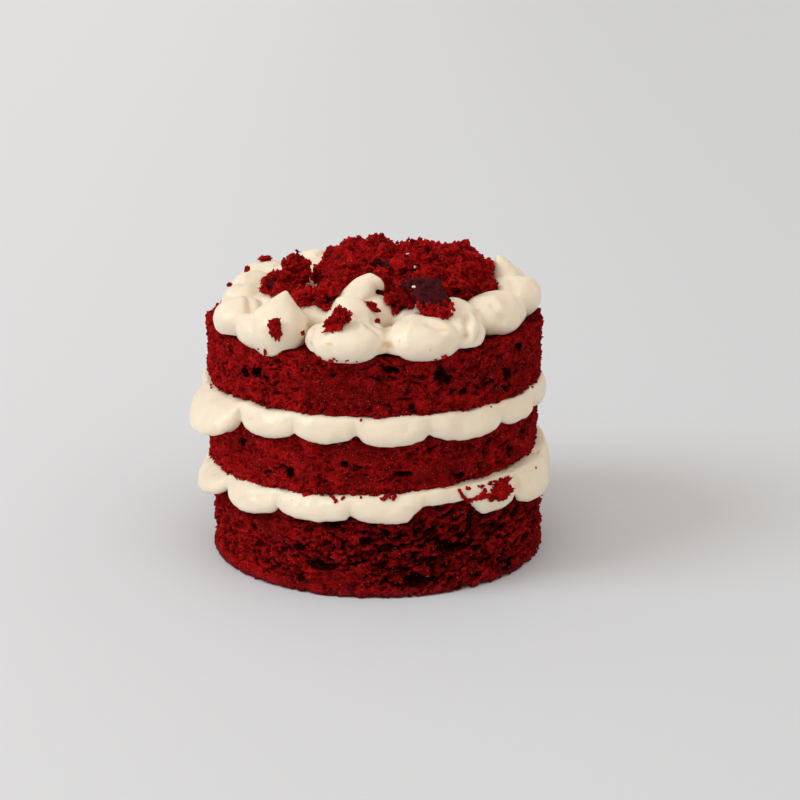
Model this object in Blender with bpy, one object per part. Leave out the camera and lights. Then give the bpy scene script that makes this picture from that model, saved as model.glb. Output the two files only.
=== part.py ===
"""A small red velvet layer cake, modelled in metres with +Z up.

Three rounds of red sponge stand on one another with a layer of cream cheese
frosting between each pair. Dollops of the same frosting crown the top, and a
heap of crumbled sponge lies on them with a few larger torn pieces round it.
The origin is the middle of the underside.
"""

import math
import random

import bmesh
import bpy
from mathutils import Matrix, Vector, noise

MM = 0.001

# Driving dimensions: the round is 100 mm across, and about 90 mm high with its toppings.
CAKE_RADIUS = 50.0 * MM
BOTTOM_SPONGE_TOP = 25.2 * MM
LOWER_FILLING_TOP = 30.2 * MM
MIDDLE_SPONGE_TOP = 47.9 * MM
UPPER_FILLING_TOP = 52.9 * MM
TOP_SPONGE_TOP = 71.5 * MM
GAP = 0.3 * MM

# How far the lower two rounds stand off the axis, towards +X.
BOTTOM_MIDDLE_X = 0.9 * MM
MIDDLE_MIDDLE_X = -0.6 * MM
MIDDLE_ROUND_TRIM = 0.4 * MM

# The middle round was cut a little askew, so its underside climbs towards +X.
MIDDLE_UNDERSIDE_SLOPE = 0.035

# Sponge: the torn side and its crags.
SIDE_SEGMENTS = 78
SIDE_BANDS = 4
EDGE_ROUNDING = 1.5 * MM
CRAG_INSET = 0.35 * MM
BOTTOM_CRAG_DEPTH = 1.1 * MM
UPPER_CRAG_DEPTH = 0.8 * MM
CRAG_PITCH = 9.0 * MM

# One stretch of the bottom sponge's rim stands up over the filling behind it.
RAISED_RIM_AZIMUTH = -68.0
RAISED_RIM_HALF_WIDTH = 9.0
RAISED_RIM_HEIGHT = 2.2 * MM
RAISED_RIM_START = 43.0 * MM
RAISED_RIM_CREST = 47.4 * MM
RAISED_RIM_LEEWAY = 4.0

# Frosting: the grain that the dollops are blended at, the faces that stay, and the
# height of the room cut out of them for the top sponge.
FROSTING_VOXEL = 0.9 * MM
FROSTING_TRIANGLES = 3300
SPONGE_ROOM_HEIGHT = 20.0 * MM

# Filling blobs as (azimuth, half width, reach past the sponge, hang below its top): degrees and mm.
LOWER_BLOBS = [
    (-162.0, 13.5, 5.0, 3.8),
    (-136.5, 12.5, 3.2, 4.2),
    (-111.5, 13.0, 2.6, 2.8),
    (-87.5, 12.0, 2.4, 2.8),
    (-68.0, 7.5, 0.9, 0.4),
    (-49.5, 11.0, 2.6, 3.4),
    (-27.5, 12.0, 4.2, 4.4),
    (-5.5, 10.5, 1.6, 3.4),
    (18.5, 13.5, 1.8, 2.6),
    (46.0, 12.0, 2.6, 2.6),
    (70.5, 12.5, 3.2, 3.6),
    (95.0, 12.0, 2.2, 2.4),
    (120.0, 13.0, 3.4, 3.4),
    (146.0, 13.0, 2.8, 2.8),
    (171.5, 12.5, 2.2, 3.0),
]
UPPER_BLOBS = [
    (-155.0, 17.5, 7.6, 5.6),
    (-126.5, 11.0, 2.4, 2.7),
    (-105.5, 10.5, 2.0, 2.0),
    (-83.5, 12.0, 2.4, 2.6),
    (-58.0, 14.0, 2.8, 2.6),
    (-33.5, 10.5, 2.2, 1.9),
    (-12.0, 11.5, 1.8, 1.8),
    (11.0, 12.0, 1.2, 2.0),
    (34.0, 11.0, 2.0, 1.8),
    (57.0, 12.0, 3.0, 2.8),
    (81.0, 12.5, 2.2, 2.2),
    (106.0, 12.5, 2.8, 3.0),
    (130.0, 12.0, 2.0, 1.9),
    (152.5, 10.5, 2.6, 2.4),
    (175.0, 12.0, 0.7, 1.8),
]
# Reach and hang of the creases between blobs, and how much a blob sags for each mm of its reach.
CREASE_REACH = 0.7
CREASE_HANG = 0.7
FILLING_DROOP = 0.35
BLOB_STEPS = 6
BLOB_CURVE_STEPS = 5

# Rim dollops as (azimuth, distance out, height of middle, half length, half width, half height),
# in degrees and mm.
RIM_DOLLOPS = [
    (-150.0, 44.4, 75.4, 7.8, 7.8, 6.4),
    (-130.5, 44.2, 74.8, 11.0, 9.2, 6.3),
    (-99.5, 44.4, 74.5, 12.2, 9.4, 6.5),
    (-73.0, 44.4, 74.4, 11.8, 9.2, 6.5),
    (-57.5, 43.0, 75.0, 7.6, 8.2, 6.2),
    (-31.5, 40.2, 76.0, 11.6, 8.4, 6.7),
    (-6.0, 41.6, 77.2, 10.2, 8.0, 6.4),
    (19.0, 40.6, 76.8, 8.6, 8.0, 6.0),
    (43.0, 41.6, 75.6, 9.8, 8.6, 6.0),
    (69.0, 42.2, 75.0, 10.2, 8.8, 5.8),
    (95.0, 41.6, 75.2, 10.0, 8.6, 6.0),
    (120.0, 41.8, 75.0, 9.6, 8.6, 5.8),
    (146.0, 39.0, 76.0, 10.0, 8.4, 6.0),
    (171.0, 36.8, 76.6, 8.4, 7.4, 6.2),
    (-169.5, 38.2, 76.0, 7.2, 7.4, 6.0),
]
# Dollops further in, which the crumbs partly cover, in the same terms.
INNER_DOLLOPS = [
    (-94.0, 30.0, 78.0, 8.5, 7.5, 6.6),
    (-122.0, 31.0, 76.8, 8.5, 7.5, 5.2),
    (-152.0, 30.0, 77.2, 9.5, 9.0, 5.2),
    (-68.0, 33.0, 76.0, 8.5, 7.0, 5.2),
    (160.0, 28.0, 77.4, 10.0, 8.5, 5.4),
    (122.0, 31.0, 77.0, 9.0, 8.0, 5.4),
    (88.0, 31.5, 76.4, 9.5, 7.5, 5.2),
    (52.0, 32.0, 76.6, 9.0, 7.5, 5.4),
    (25.0, 33.0, 76.8, 8.0, 6.5, 5.2),
]
# Pulled peaks as (foot, bow, tip, foot radius, tip radius), each place in mm.
PEAKS = [
    ((-27.0, -36.0, 75.5), (-0.6, -0.6, 0.0), (-24.6, -35.2, 86.2), 8.4, 0.7),
    ((-3.6, -40.0, 76.0), (1.2, 0.0, 2.2), (-9.6, -39.0, 84.2), 5.6, 0.9),
    ((-6.6, -31.0, 76.5), (-0.6, 0.0, 0.8), (-1.4, -29.6, 87.9), 7.8, 2.1),
    ((-1.4, -29.7, 87.7), (0.4, 0.0, 0.5), (2.0, -30.0, 86.2), 2.1, 0.9),
    ((24.5, -31.0, 75.5), (0.0, 0.0, 0.8), (20.5, -30.5, 82.0), 6.6, 0.9),
    ((39.6, 3.0, 77.0), (0.0, 0.0, 0.8), (36.6, 2.0, 87.6), 6.2, 0.8),
    ((-20.0, 32.0, 75.5), (1.0, 0.0, 0.6), (-17.0, 30.0, 83.0), 6.8, 0.9),
]
# The low dome of frosting that the dollops stand on, as (height of middle, half width, half height).
CROWN_BASE = (71.0 * MM, 40.0 * MM, 7.2 * MM)

# Small crumbs fused to the frosting as (place, size, turn): mm and degrees.
FROSTING_CRUMBS = [
    ((-27.2, -44.6, 78.4), (1.5, 1.4, 2.4), 20.0),
    ((-2.4, -38.6, 82.4), (3.3, 1.8, 1.3), -28.0),
]
# Torn crumb smeared over the lower filling, in the same terms.
SMEAR_CRUMBS = [
    ((36.0, -38.6, 26.6), (3.6, 1.9, 1.5), 45.0),
    ((31.4, -42.6, 27.4), (2.6, 1.5, 1.1), 38.0),
]

# The heap of crumbs: its middle, half sizes, and the crumbs fused on it.
HEAP_MIDDLE = (8.6, -2.0, 78.8)
HEAP_HALF = (24.0, 26.0, 10.4)
HEAP_SQUARENESS = 0.8
# Crumbs spread over the heap as (count, least and most half size in mm, lowest share up, fineness).
HEAP_TRIANGLES = 2300
HEAP_CRUMBS = [(28, 3.6, 5.4, 0.1, 2), (26, 1.8, 2.8, 0.2, 1)]
# Lumps where the heap reaches past its dome, as (place, half sizes, turn).
HEAP_OUTLYING_CRUMBS = [
    ((-12.0, -29.6, 83.4), (5.0, 4.4, 5.2), 20.0),
    ((-9.5, -20.0, 84.0), (4.8, 4.4, 4.2), 60.0),
    ((6.0, -31.5, 81.8), (4.4, 3.4, 3.0), 10.0),
    ((-11.0, 10.0, 83.6), (5.2, 5.0, 5.0), 75.0),
    ((-6.5, 16.0, 85.4), (5.4, 4.6, 4.4), 15.0),
    ((-12.0, -4.0, 83.0), (5.0, 4.6, 4.6), 40.0),
]
HEAP_SEED = 41
GOLDEN_ANGLE = math.pi * (3.0 - math.sqrt(5.0))

# Larger torn pieces as name: (place, half sizes, turn about Z, lean about X), in mm and degrees.
TORN_PIECES = {
    "crumb_back_left": ((-22.8, -6.0, 85.4), (4.4, 4.2, 5.2), 30.0, 10.0),
    "crumb_front_left": ((-27.6, -15.5, 82.4), (4.8, 4.6, 5.2), -20.0, 0.0),
    "crumb_middle_left": ((-19.2, -27.0, 81.6), (4.8, 3.9, 4.4), -40.0, 15.0),
    "crumb_front": ((-10.6, -48.8, 80.6), (2.6, 2.5, 5.9), 90.0, 36.0),
    "crumb_crusted": ((16.0, -36.6, 84.6), (4.9, 7.9, 3.3), 22.0, 34.0),
}


def remove_everything():
    """Start from an empty scene."""
    for old in list(bpy.data.objects):
        bpy.data.objects.remove(old, do_unlink=True)


def simple_material(name, colour, roughness, subsurface=0.0):
    """Make one plain Principled finish."""
    material = bpy.data.materials.new(name)
    material.use_nodes = True
    shader = material.node_tree.nodes["Principled BSDF"]
    shader.inputs["Base Color"].default_value = (*colour, 1.0)
    shader.inputs["Roughness"].default_value = roughness
    shader.inputs["Metallic"].default_value = 0.0
    shader.inputs["Subsurface Weight"].default_value = subsurface
    material.diffuse_color = (*colour, 1.0)
    return material


def sponge_finish(name="red_sponge"):
    """Matt, deep red crumb."""
    return bpy.data.materials.get(name) or simple_material(name, (0.30, 0.006, 0.008), 0.9)


def crust_finish(name="brown_crust"):
    """The dull purple-brown skin of a piece from the sponge's baked top."""
    return bpy.data.materials.get(name) or simple_material(name, (0.08, 0.008, 0.010), 0.7)


def frosting_finish(name="cream_frosting"):
    """Soft ivory cream."""
    return bpy.data.materials.get(name) or simple_material(name, (0.85, 0.74, 0.56), 0.45, 0.2)


def object_from(bm, name, material=None, smooth=True):
    """Turn a bmesh into a named object in the scene."""
    bmesh.ops.recalc_face_normals(bm, faces=bm.faces)
    mesh = bpy.data.meshes.new(name)
    bm.to_mesh(mesh)
    bm.free()
    made = bpy.data.objects.new(name, mesh)
    bpy.context.scene.collection.objects.link(made)
    if material:
        mesh.materials.append(material)
    if smooth:
        mesh.shade_smooth()
    return made


def settle_modifiers(piece):
    """Keep what the modifiers make as the object's own mesh."""
    graph = bpy.context.evaluated_depsgraph_get()
    evaluated = piece.evaluated_get(graph)
    mesh = bpy.data.meshes.new_from_object(evaluated)
    piece.modifiers.clear()
    piece.data = mesh


def triangle_count(piece):
    """Count the triangles of an object's mesh."""
    piece.data.calc_loop_triangles()
    return len(piece.data.loop_triangles)


def blend_shapes(piece, voxel, rounds):
    """Melt overlapping shapes into one skin and soften the creases."""
    remesh = piece.modifiers.new("melt", "REMESH")
    remesh.mode = "VOXEL"
    remesh.voxel_size = voxel
    soften = piece.modifiers.new("soften", "SMOOTH")
    soften.factor = 0.5
    soften.iterations = rounds
    settle_modifiers(piece)


def thin_out(piece, triangles):
    """Leave about this many triangles."""
    fewer = piece.modifiers.new("fewer", "DECIMATE")
    fewer.ratio = min(1.0, triangles / triangle_count(piece))
    fewer.use_collapse_triangulate = True
    settle_modifiers(piece)


def cut_with(piece, cutter, operation="DIFFERENCE", solver="EXACT"):
    """Cut a piece with another object, which is then removed."""
    cutter.hide_render = True
    cutter.display_type = "WIRE"
    cut = piece.modifiers.new("cut", "BOOLEAN")
    cut.operation = operation
    cut.solver = solver
    cut.object = cutter
    settle_modifiers(piece)
    bpy.data.objects.remove(cutter, do_unlink=True)


def join_all(piece, others):
    """Join a piece with a set of others by one union."""
    joined = bpy.data.collections.new("joined")
    bpy.context.scene.collection.children.link(joined)
    for other in others:
        bpy.context.scene.collection.objects.unlink(other)
        joined.objects.link(other)
    union = piece.modifiers.new("join", "BOOLEAN")
    union.operation = "UNION"
    union.operand_type = "COLLECTION"
    union.collection = joined
    union.solver = "EXACT"
    settle_modifiers(piece)
    for other in list(joined.objects):
        bpy.data.objects.remove(other, do_unlink=True)
    bpy.data.collections.remove(joined)


def keep_largest_body(piece, merge=0.02 * MM):
    """Weld stray slivers and drop every scrap that isn't part of the main body."""
    bm = bmesh.new()
    bm.from_mesh(piece.data)
    bmesh.ops.remove_doubles(bm, verts=bm.verts, dist=merge)
    bmesh.ops.triangulate(bm, faces=bm.faces)
    waiting = set(bm.verts)
    bodies = []
    while waiting:
        body = set()
        edge_of_body = [waiting.pop()]
        while edge_of_body:
            vert = edge_of_body.pop()
            body.add(vert)
            for link in vert.link_edges:
                other = link.other_vert(vert)
                if other in waiting:
                    waiting.remove(other)
                    edge_of_body.append(other)
        bodies.append(body)
    bodies.sort(key=len, reverse=True)
    scraps = [vert for body in bodies[1:] for vert in body]
    bmesh.ops.delete(bm, geom=scraps, context="VERTS")
    bm.to_mesh(piece.data)
    bm.free()


def swollen_copy(neighbour, gap):
    """Copy an object with its skin moved out by a gap."""
    bm = bmesh.new()
    bm.from_mesh(neighbour.data)
    bm.normal_update()
    moved = [vert.co + vert.normal * gap * 1.35 for vert in bm.verts]
    for vert, place in zip(bm.verts, moved):
        vert.co = place
    return object_from(bm, "swollen_" + neighbour.name)


def keep_clear(piece, neighbours, solver="EXACT"):
    """Cut a piece back to a gap from each neighbour, so that it lies on them."""
    for neighbour in neighbours:
        cut_with(piece, swollen_copy(neighbour, GAP), solver=solver)
    keep_largest_body(piece)


def around(azimuth, distance, height=0.0):
    """A place by its azimuth in degrees and its distance from the axis."""
    angle = math.radians(azimuth)
    return Vector((distance * math.cos(angle), distance * math.sin(angle), height))


def wrapped(degrees):
    """An angle brought between -180 and 180 degrees."""
    return (degrees + 180.0) % 360.0 - 180.0


def raised_rim(azimuth, leeway=0.0):
    """How far the bottom sponge's rim stands up here, at most, within some degrees either way."""
    away = max(0.0, abs(wrapped(azimuth - RAISED_RIM_AZIMUTH)) - leeway)
    return RAISED_RIM_HEIGHT * max(0.0, 1.0 - (away / RAISED_RIM_HALF_WIDTH) ** 2)


def crag(place, seed):
    """Uneven depth of the cut side, between -1 and 1, longer along the cut than across it."""
    shift = Vector((seed * 3.7, seed * 1.9, seed * 5.3))
    broad = noise.noise(Vector((place.x, place.y, place.z * 1.8)) / CRAG_PITCH + shift)
    fine = noise.noise(Vector((place.x, place.y, place.z * 1.6)) / (CRAG_PITCH * 0.42) - shift)
    return max(-1.0, min(1.0, 1.1 * broad + 0.8 * fine))


def make_sponge(name, low, high, radius, middle_x, crag_depth, seed, slope=0.0, rim=None):
    """One round of sponge with flat faces and a cragged side."""
    height = high - low
    rows = [(EDGE_ROUNDING * 0.6, 0.0)]
    for step in range(SIDE_BANDS + 1):
        share = step / SIDE_BANDS
        rows.append((0.0, EDGE_ROUNDING + share * (height - 2 * EDGE_ROUNDING)))
    rows.append((EDGE_ROUNDING, height))
    bm = bmesh.new()
    rings = []
    for inset, rise in rows:
        ring = []
        for step in range(SIDE_SEGMENTS):
            azimuth = 360.0 * step / SIDE_SEGMENTS
            spot = around(azimuth, radius, low + rise)
            depth = min(0.0, crag_depth * crag(spot, seed) - CRAG_INSET)
            place = around(azimuth, radius - inset + depth, low + rise)
            place.z += slope * place.x * (1.0 - rise / height)
            place.x += middle_x
            if rim and rise == height:
                place.z += rim(azimuth)
            ring.append(bm.verts.new(place))
        rings.append(ring)
    if rim:
        inner = [around(360.0 * i / SIDE_SEGMENTS, RAISED_RIM_START, high) for i in range(SIDE_SEGMENTS)]
        rings.append([bm.verts.new(place + Vector((middle_x, 0.0, 0.0))) for place in inner])
    close_rings(bm, rings)
    return object_from(bm, name, sponge_finish())


def close_rings(bm, rings):
    """Skin a stack of equal rings and close both ends with a flat face."""
    for lower, upper in zip(rings, rings[1:]):
        count = len(lower)
        for step in range(count):
            after = (step + 1) % count
            bm.faces.new((lower[step], lower[after], upper[after], upper[step]))
    bm.faces.new(reversed(rings[0]))
    bm.faces.new(rings[-1])


def blob_samples(blobs):
    """Azimuths with their reach and hang in mm: each blob is a round lobe between two creases."""
    samples = []
    for azimuth, half_width, reach, hang in blobs:
        for step in range(BLOB_STEPS):
            side = -math.cos(math.pi * step / BLOB_STEPS)
            swell = math.sqrt(max(0.0, 1.0 - side * side))
            samples.append((
                azimuth + half_width * side,
                CREASE_REACH + (reach - CREASE_REACH) * swell,
                CREASE_HANG + (hang - CREASE_HANG) * swell ** 0.8,
            ))
    return samples


def make_filling(name, low, high, blobs, below_x, slope=0.0, rim=None):
    """A layer of frosting whose blobs swell out between two sponges and hang over the lower one."""
    wall = CAKE_RADIUS + GAP
    tuck = 1.2 * MM
    samples = blob_samples(blobs)
    bm = bmesh.new()
    rings = [[] for _ in range(BLOB_CURVE_STEPS + 4)]
    for azimuth, reach, hang in samples:
        lift = rim(azimuth, RAISED_RIM_LEEWAY) if rim else 0.0
        top = high + slope * around(azimuth, wall).x
        bottom = low - hang * MM + lift
        middle = (top + bottom) / 2
        start = -math.acos(tuck / (tuck + reach * MM))
        curve = []
        for step in range(BLOB_CURVE_STEPS + 1):
            angle = start + (math.pi / 2 - start) * step / BLOB_CURVE_STEPS
            out = wall - tuck + (tuck + reach * MM) * math.cos(angle)
            rise = middle + (top - middle) * math.sin(angle) / max(abs(math.sin(start)), 0.6)
            droop = FILLING_DROOP * max(0.0, out - wall)
            curve.append((out, max(bottom, min(top, rise - droop))))
        underside = [(RAISED_RIM_START, low), (RAISED_RIM_CREST, low + lift), (wall, low + lift)]
        profile = underside + curve
        for ring, (out, height) in zip(rings, profile):
            ring.append(bm.verts.new(around(azimuth, out, height) + Vector((below_x, 0.0, 0.0))))
    close_rings(bm, rings)
    return object_from(bm, name, frosting_finish())


def add_ball(bm, azimuth, place, half):
    """Add a squashed ball, its first half size along the rim."""
    turn = Matrix.Rotation(math.radians(azimuth + 90.0), 4, "Z")
    size = Matrix.Diagonal((*half, 1.0))
    matrix = Matrix.Translation(place) @ turn @ size
    bmesh.ops.create_icosphere(bm, subdivisions=4, radius=1.0, matrix=matrix)


def add_peak(bm, foot, bow, tip, foot_radius, tip_radius):
    """Add a pulled peak: a bowed run of balls that shrink towards the tip."""
    steps = 12
    for step in range(steps + 1):
        share = step / steps
        place = foot.lerp(tip, share) + bow * math.sin(math.pi * share)
        radius = foot_radius + (tip_radius - foot_radius) * share
        bmesh.ops.create_icosphere(
            bm, subdivisions=3, radius=radius, matrix=Matrix.Translation(place)
        )


def crown_shapes():
    """The overlapping dollops and peaks of the top frosting, before they are blended."""
    bm = bmesh.new()
    middle, half_width, half_height = CROWN_BASE
    add_ball(bm, 0.0, Vector((0.0, 0.0, middle)), (half_width, half_width, half_height))
    for azimuth, out, height, *half in RIM_DOLLOPS + INNER_DOLLOPS:
        add_ball(bm, azimuth, around(azimuth, out * MM, height * MM), Vector(half) * MM)
    for foot, bow, tip, foot_radius, tip_radius in PEAKS:
        places = [Vector(place) * MM for place in (foot, bow, tip)]
        add_peak(bm, *places, foot_radius * MM, tip_radius * MM)
    return bm


def make_top_frosting():
    """The crown of dollops, cut flat where it lies on the top sponge."""
    crown = object_from(crown_shapes(), "frosting_top", frosting_finish())
    blend_shapes(crown, FROSTING_VOXEL, 3)
    thin_out(crown, FROSTING_TRIANGLES)
    bm = bmesh.new()
    bmesh.ops.create_cone(
        bm,
        cap_ends=True,
        segments=SIDE_SEGMENTS,
        radius1=CAKE_RADIUS + 1.5 * GAP,
        radius2=CAKE_RADIUS + 1.5 * GAP,
        depth=SPONGE_ROOM_HEIGHT,
        matrix=Matrix.Translation((0.0, 0.0, TOP_SPONGE_TOP + GAP - SPONGE_ROOM_HEIGHT / 2)),
    )
    cut_with(crown, object_from(bm, "sponge_room"))
    keep_largest_body(crown)
    return crown


def add_crumb(bm, place, half, turn, seed, subdivisions=2):
    """Add one torn crumb: a blocky ball made uneven by coarse noise."""
    shift = Vector((seed * 7.31, seed * 3.17, seed * 5.71))
    made = bmesh.ops.create_icosphere(bm, subdivisions=subdivisions, radius=1.0)["verts"]
    for vert in made:
        spot = vert.co.copy()
        swell = 1.0 + 0.30 * noise.noise(spot * 1.3 + shift) + 0.22 * noise.noise(spot * 2.9 - shift)
        blocky = [math.copysign(abs(part) ** 0.82, part) for part in spot]
        vert.co = place + turn @ Vector([b * h * swell for b, h in zip(blocky, half)])


def crumb_turn(about_z, about_x=0.0):
    """A crumb's turn from two angles in degrees."""
    return Matrix.Rotation(math.radians(about_z), 3, "Z") @ Matrix.Rotation(math.radians(about_x), 3, "X")


def fuse_crumbs(piece, crumbs, seed):
    """Join small crumbs to the frosting that they lie on."""
    others = []
    for index, (place, half, about_z) in enumerate(crumbs):
        bm = bmesh.new()
        add_crumb(bm, Vector(place) * MM, Vector(half) * MM, crumb_turn(about_z), seed + index)
        others.append(object_from(bm, f"crumb_to_join_{index}"))
    join_all(piece, others)
    keep_largest_body(piece)


def make_torn_piece(name, neighbours):
    """One larger torn piece that lies on the frosting."""
    place, half, about_z, about_x = TORN_PIECES[name]
    bm = bmesh.new()
    seed = 11 + list(TORN_PIECES).index(name)
    add_crumb(bm, Vector(place) * MM, Vector(half) * MM, crumb_turn(about_z, about_x), seed)
    finish = crust_finish() if name == "crumb_crusted" else sponge_finish()
    piece = object_from(bm, name, finish, smooth=False)
    keep_clear(piece, neighbours)
    return piece


def on_heap(index, count, lowest, start):
    """A place on the heap's dome: a spiral that spreads a count of crumbs evenly."""
    azimuth = start + index * GOLDEN_ANGLE
    rise = lowest + (1.0 - lowest) * (index + 0.5) / count
    out = math.sqrt(1.0 - rise * rise)
    spot = Vector((out * math.cos(azimuth), out * math.sin(azimuth), rise ** HEAP_SQUARENESS))
    return (Vector(HEAP_MIDDLE) + spot * Vector(HEAP_HALF)) * MM


def make_heap(neighbours):
    """The heap of crumbled sponge: a low dome with single crumbs fused all over it."""
    draw = random.Random(HEAP_SEED)
    bm = bmesh.new()
    bmesh.ops.create_icosphere(bm, subdivisions=3, radius=1.0)
    for vert in bm.verts:
        swell = 0.92 + 0.12 * noise.noise(vert.co * 2.2 + Vector((3.0, 1.0, 7.0)))
        spot = Vector((vert.co.x, vert.co.y, max(0.0, vert.co.z) ** HEAP_SQUARENESS)) * swell
        vert.co = (Vector(HEAP_MIDDLE) + spot * Vector(HEAP_HALF)) * MM
    heap = object_from(bm, "crumble_heap", sponge_finish(), smooth=False)
    others = []
    for count, least, most, lowest, fineness in HEAP_CRUMBS:
        for index in range(count):
            size = draw.uniform(least, most)
            half = Vector((size * draw.uniform(0.8, 1.3), size, size * draw.uniform(0.6, 0.9))) * MM
            place = on_heap(index, count, lowest, least)
            turn = crumb_turn(draw.uniform(0.0, 360.0), draw.uniform(-35.0, 35.0))
            bm = bmesh.new()
            add_crumb(bm, place, half, turn, len(others), fineness)
            others.append(object_from(bm, f"heap_crumb_{len(others)}", smooth=False))
    for place, half, about_z in HEAP_OUTLYING_CRUMBS:
        bm = bmesh.new()
        add_crumb(bm, Vector(place) * MM, Vector(half) * MM, crumb_turn(about_z), len(others))
        others.append(object_from(bm, f"heap_crumb_{len(others)}", smooth=False))
    join_all(heap, others)
    keep_largest_body(heap)
    thin_out(heap, HEAP_TRIANGLES)
    keep_clear(heap, neighbours, solver="MANIFOLD")
    return heap


def stack_layers():
    """The three sponges and the two fillings, from the bottom up."""
    make_sponge(
        "sponge_bottom",
        0.0,
        BOTTOM_SPONGE_TOP,
        CAKE_RADIUS,
        BOTTOM_MIDDLE_X,
        BOTTOM_CRAG_DEPTH,
        seed=1,
        rim=raised_rim,
    )
    filling = make_filling(
        "filling_lower",
        BOTTOM_SPONGE_TOP + GAP,
        LOWER_FILLING_TOP,
        LOWER_BLOBS,
        BOTTOM_MIDDLE_X,
        slope=MIDDLE_UNDERSIDE_SLOPE,
        rim=raised_rim,
    )
    fuse_crumbs(filling, SMEAR_CRUMBS, seed=70)
    make_sponge(
        "sponge_middle",
        LOWER_FILLING_TOP + GAP,
        MIDDLE_SPONGE_TOP,
        CAKE_RADIUS - MIDDLE_ROUND_TRIM,
        MIDDLE_MIDDLE_X,
        UPPER_CRAG_DEPTH,
        seed=2,
        slope=MIDDLE_UNDERSIDE_SLOPE,
    )
    make_filling(
        "filling_upper",
        MIDDLE_SPONGE_TOP + GAP,
        UPPER_FILLING_TOP,
        UPPER_BLOBS,
        MIDDLE_MIDDLE_X,
    )
    make_sponge(
        "sponge_top",
        UPPER_FILLING_TOP + GAP,
        TOP_SPONGE_TOP,
        CAKE_RADIUS,
        0.0,
        UPPER_CRAG_DEPTH,
        seed=3,
    )


def main():
    """Build the cake."""
    remove_everything()
    stack_layers()
    crown = make_top_frosting()
    fuse_crumbs(crown, FROSTING_CRUMBS, seed=80)
    pieces = []
    for name in TORN_PIECES:
        pieces.append(make_torn_piece(name, [crown] + pieces))
    make_heap([crown] + pieces)


main()
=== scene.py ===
"""The looks of a small red velvet layer cake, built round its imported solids.

The sponges are skinned from a volume field worked out by formulas, and the heap and the torn pieces
from the distance to their own solids. The frosting is blended from the same dollops and blobs as its
solids, at a finer grain.
"""

import math
import random

import bmesh
import bpy
import numpy as np
from mathutils import Euler, Matrix, Vector, noise
from mathutils.bvhtree import BVHTree


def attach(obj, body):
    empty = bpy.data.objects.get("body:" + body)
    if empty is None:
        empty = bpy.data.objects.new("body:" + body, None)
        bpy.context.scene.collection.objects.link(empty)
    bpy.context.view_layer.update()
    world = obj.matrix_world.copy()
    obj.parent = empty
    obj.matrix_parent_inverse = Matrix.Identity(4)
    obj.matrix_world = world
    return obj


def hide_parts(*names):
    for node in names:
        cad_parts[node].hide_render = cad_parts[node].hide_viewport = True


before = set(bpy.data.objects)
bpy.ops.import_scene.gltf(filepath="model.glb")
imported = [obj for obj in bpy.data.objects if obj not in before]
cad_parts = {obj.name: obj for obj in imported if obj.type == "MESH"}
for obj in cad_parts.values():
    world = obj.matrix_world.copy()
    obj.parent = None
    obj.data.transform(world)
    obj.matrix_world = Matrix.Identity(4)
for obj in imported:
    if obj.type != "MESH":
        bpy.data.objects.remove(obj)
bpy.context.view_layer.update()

MM = 0.001

# The same driving dimensions as the solids, in metres and degrees.
CAKE_RADIUS = 50.0 * MM
BOTTOM_SPONGE_TOP = 25.2 * MM
LOWER_FILLING_TOP = 30.2 * MM
MIDDLE_SPONGE_TOP = 47.9 * MM
UPPER_FILLING_TOP = 52.9 * MM
TOP_SPONGE_TOP = 71.5 * MM
GAP = 0.3 * MM
BOTTOM_MIDDLE_X = 0.9 * MM
MIDDLE_MIDDLE_X = -0.6 * MM
MIDDLE_UNDERSIDE_SLOPE = 0.035

# One stretch of the bottom sponge's rim stands up over the filling behind it.
RAISED_RIM_AZIMUTH = -68.0
RAISED_RIM_HALF_WIDTH = 9.0
RAISED_RIM_HEIGHT = 2.2 * MM
RAISED_RIM_START = 43.0 * MM
RAISED_RIM_CREST = 47.4 * MM
RAISED_RIM_LEEWAY = 4.0

# Filling blobs as (azimuth, half width, reach past the sponge, hang below its top): degrees and mm.
LOWER_BLOBS = [
    (-162, 13.5, 5, 3.8), (-136.5, 12.5, 3.2, 4.2), (-111.5, 13, 2.6, 2.8),
    (-87.5, 12, 2.4, 2.8), (-68, 7.5, 0.9, 0.4), (-49.5, 11, 2.6, 3.4), (-27.5, 12, 4.2, 4.4),
    (-5.5, 10.5, 1.6, 3.4), (18.5, 13.5, 1.8, 2.6), (46, 12, 2.6, 2.6), (70.5, 12.5, 3.2, 3.6),
    (95, 12, 2.2, 2.4), (120, 13, 3.4, 3.4), (146, 13, 2.8, 2.8), (171.5, 12.5, 2.2, 3),
]
UPPER_BLOBS = [
    (-152.8, 15.3, 7.6, 5.6), (-126.5, 11, 2.4, 2.7), (-105.5, 10.5, 2, 2),
    (-83.5, 12, 2.4, 2.6), (-58, 14, 2.8, 2.6), (-33.5, 10.5, 2.2, 1.9), (-12, 11.5, 1.8, 1.8),
    (11, 12, 1.2, 2), (34, 11, 2, 1.8), (57, 12, 3, 2.8), (81, 12.5, 2.2, 2.2),
    (106, 12.5, 2.8, 3), (130, 12, 2, 1.9), (152.5, 10.5, 2.6, 2.4), (175, 12, 0.7, 1.8),
]
# How far the filling reaches and hangs between two blobs, in mm, and how round its blobs are.
CREASE_REACH = 0.0
CREASE_HANG = -1.3
REACH_POWER = 0.85
HANG_POWER = 0.8
# How far a blob sags for its reach, in mm.
FILLING_DROOP = 0.42
DROOP_POWER = 1.15
# How far the filling goes up into the sponge above and how deep inside the wall its outline starts.
FILLING_TUCK = 0.8 * MM
FILLING_ROOT = 1.2 * MM
# This keeps a flat blob's outline from being stretched too far down.
LEAST_SINE = 0.6
BLOB_STEPS = 22
BLOB_CURVE_STEPS = 22
FILLING_TRIANGLES = 50000

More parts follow.
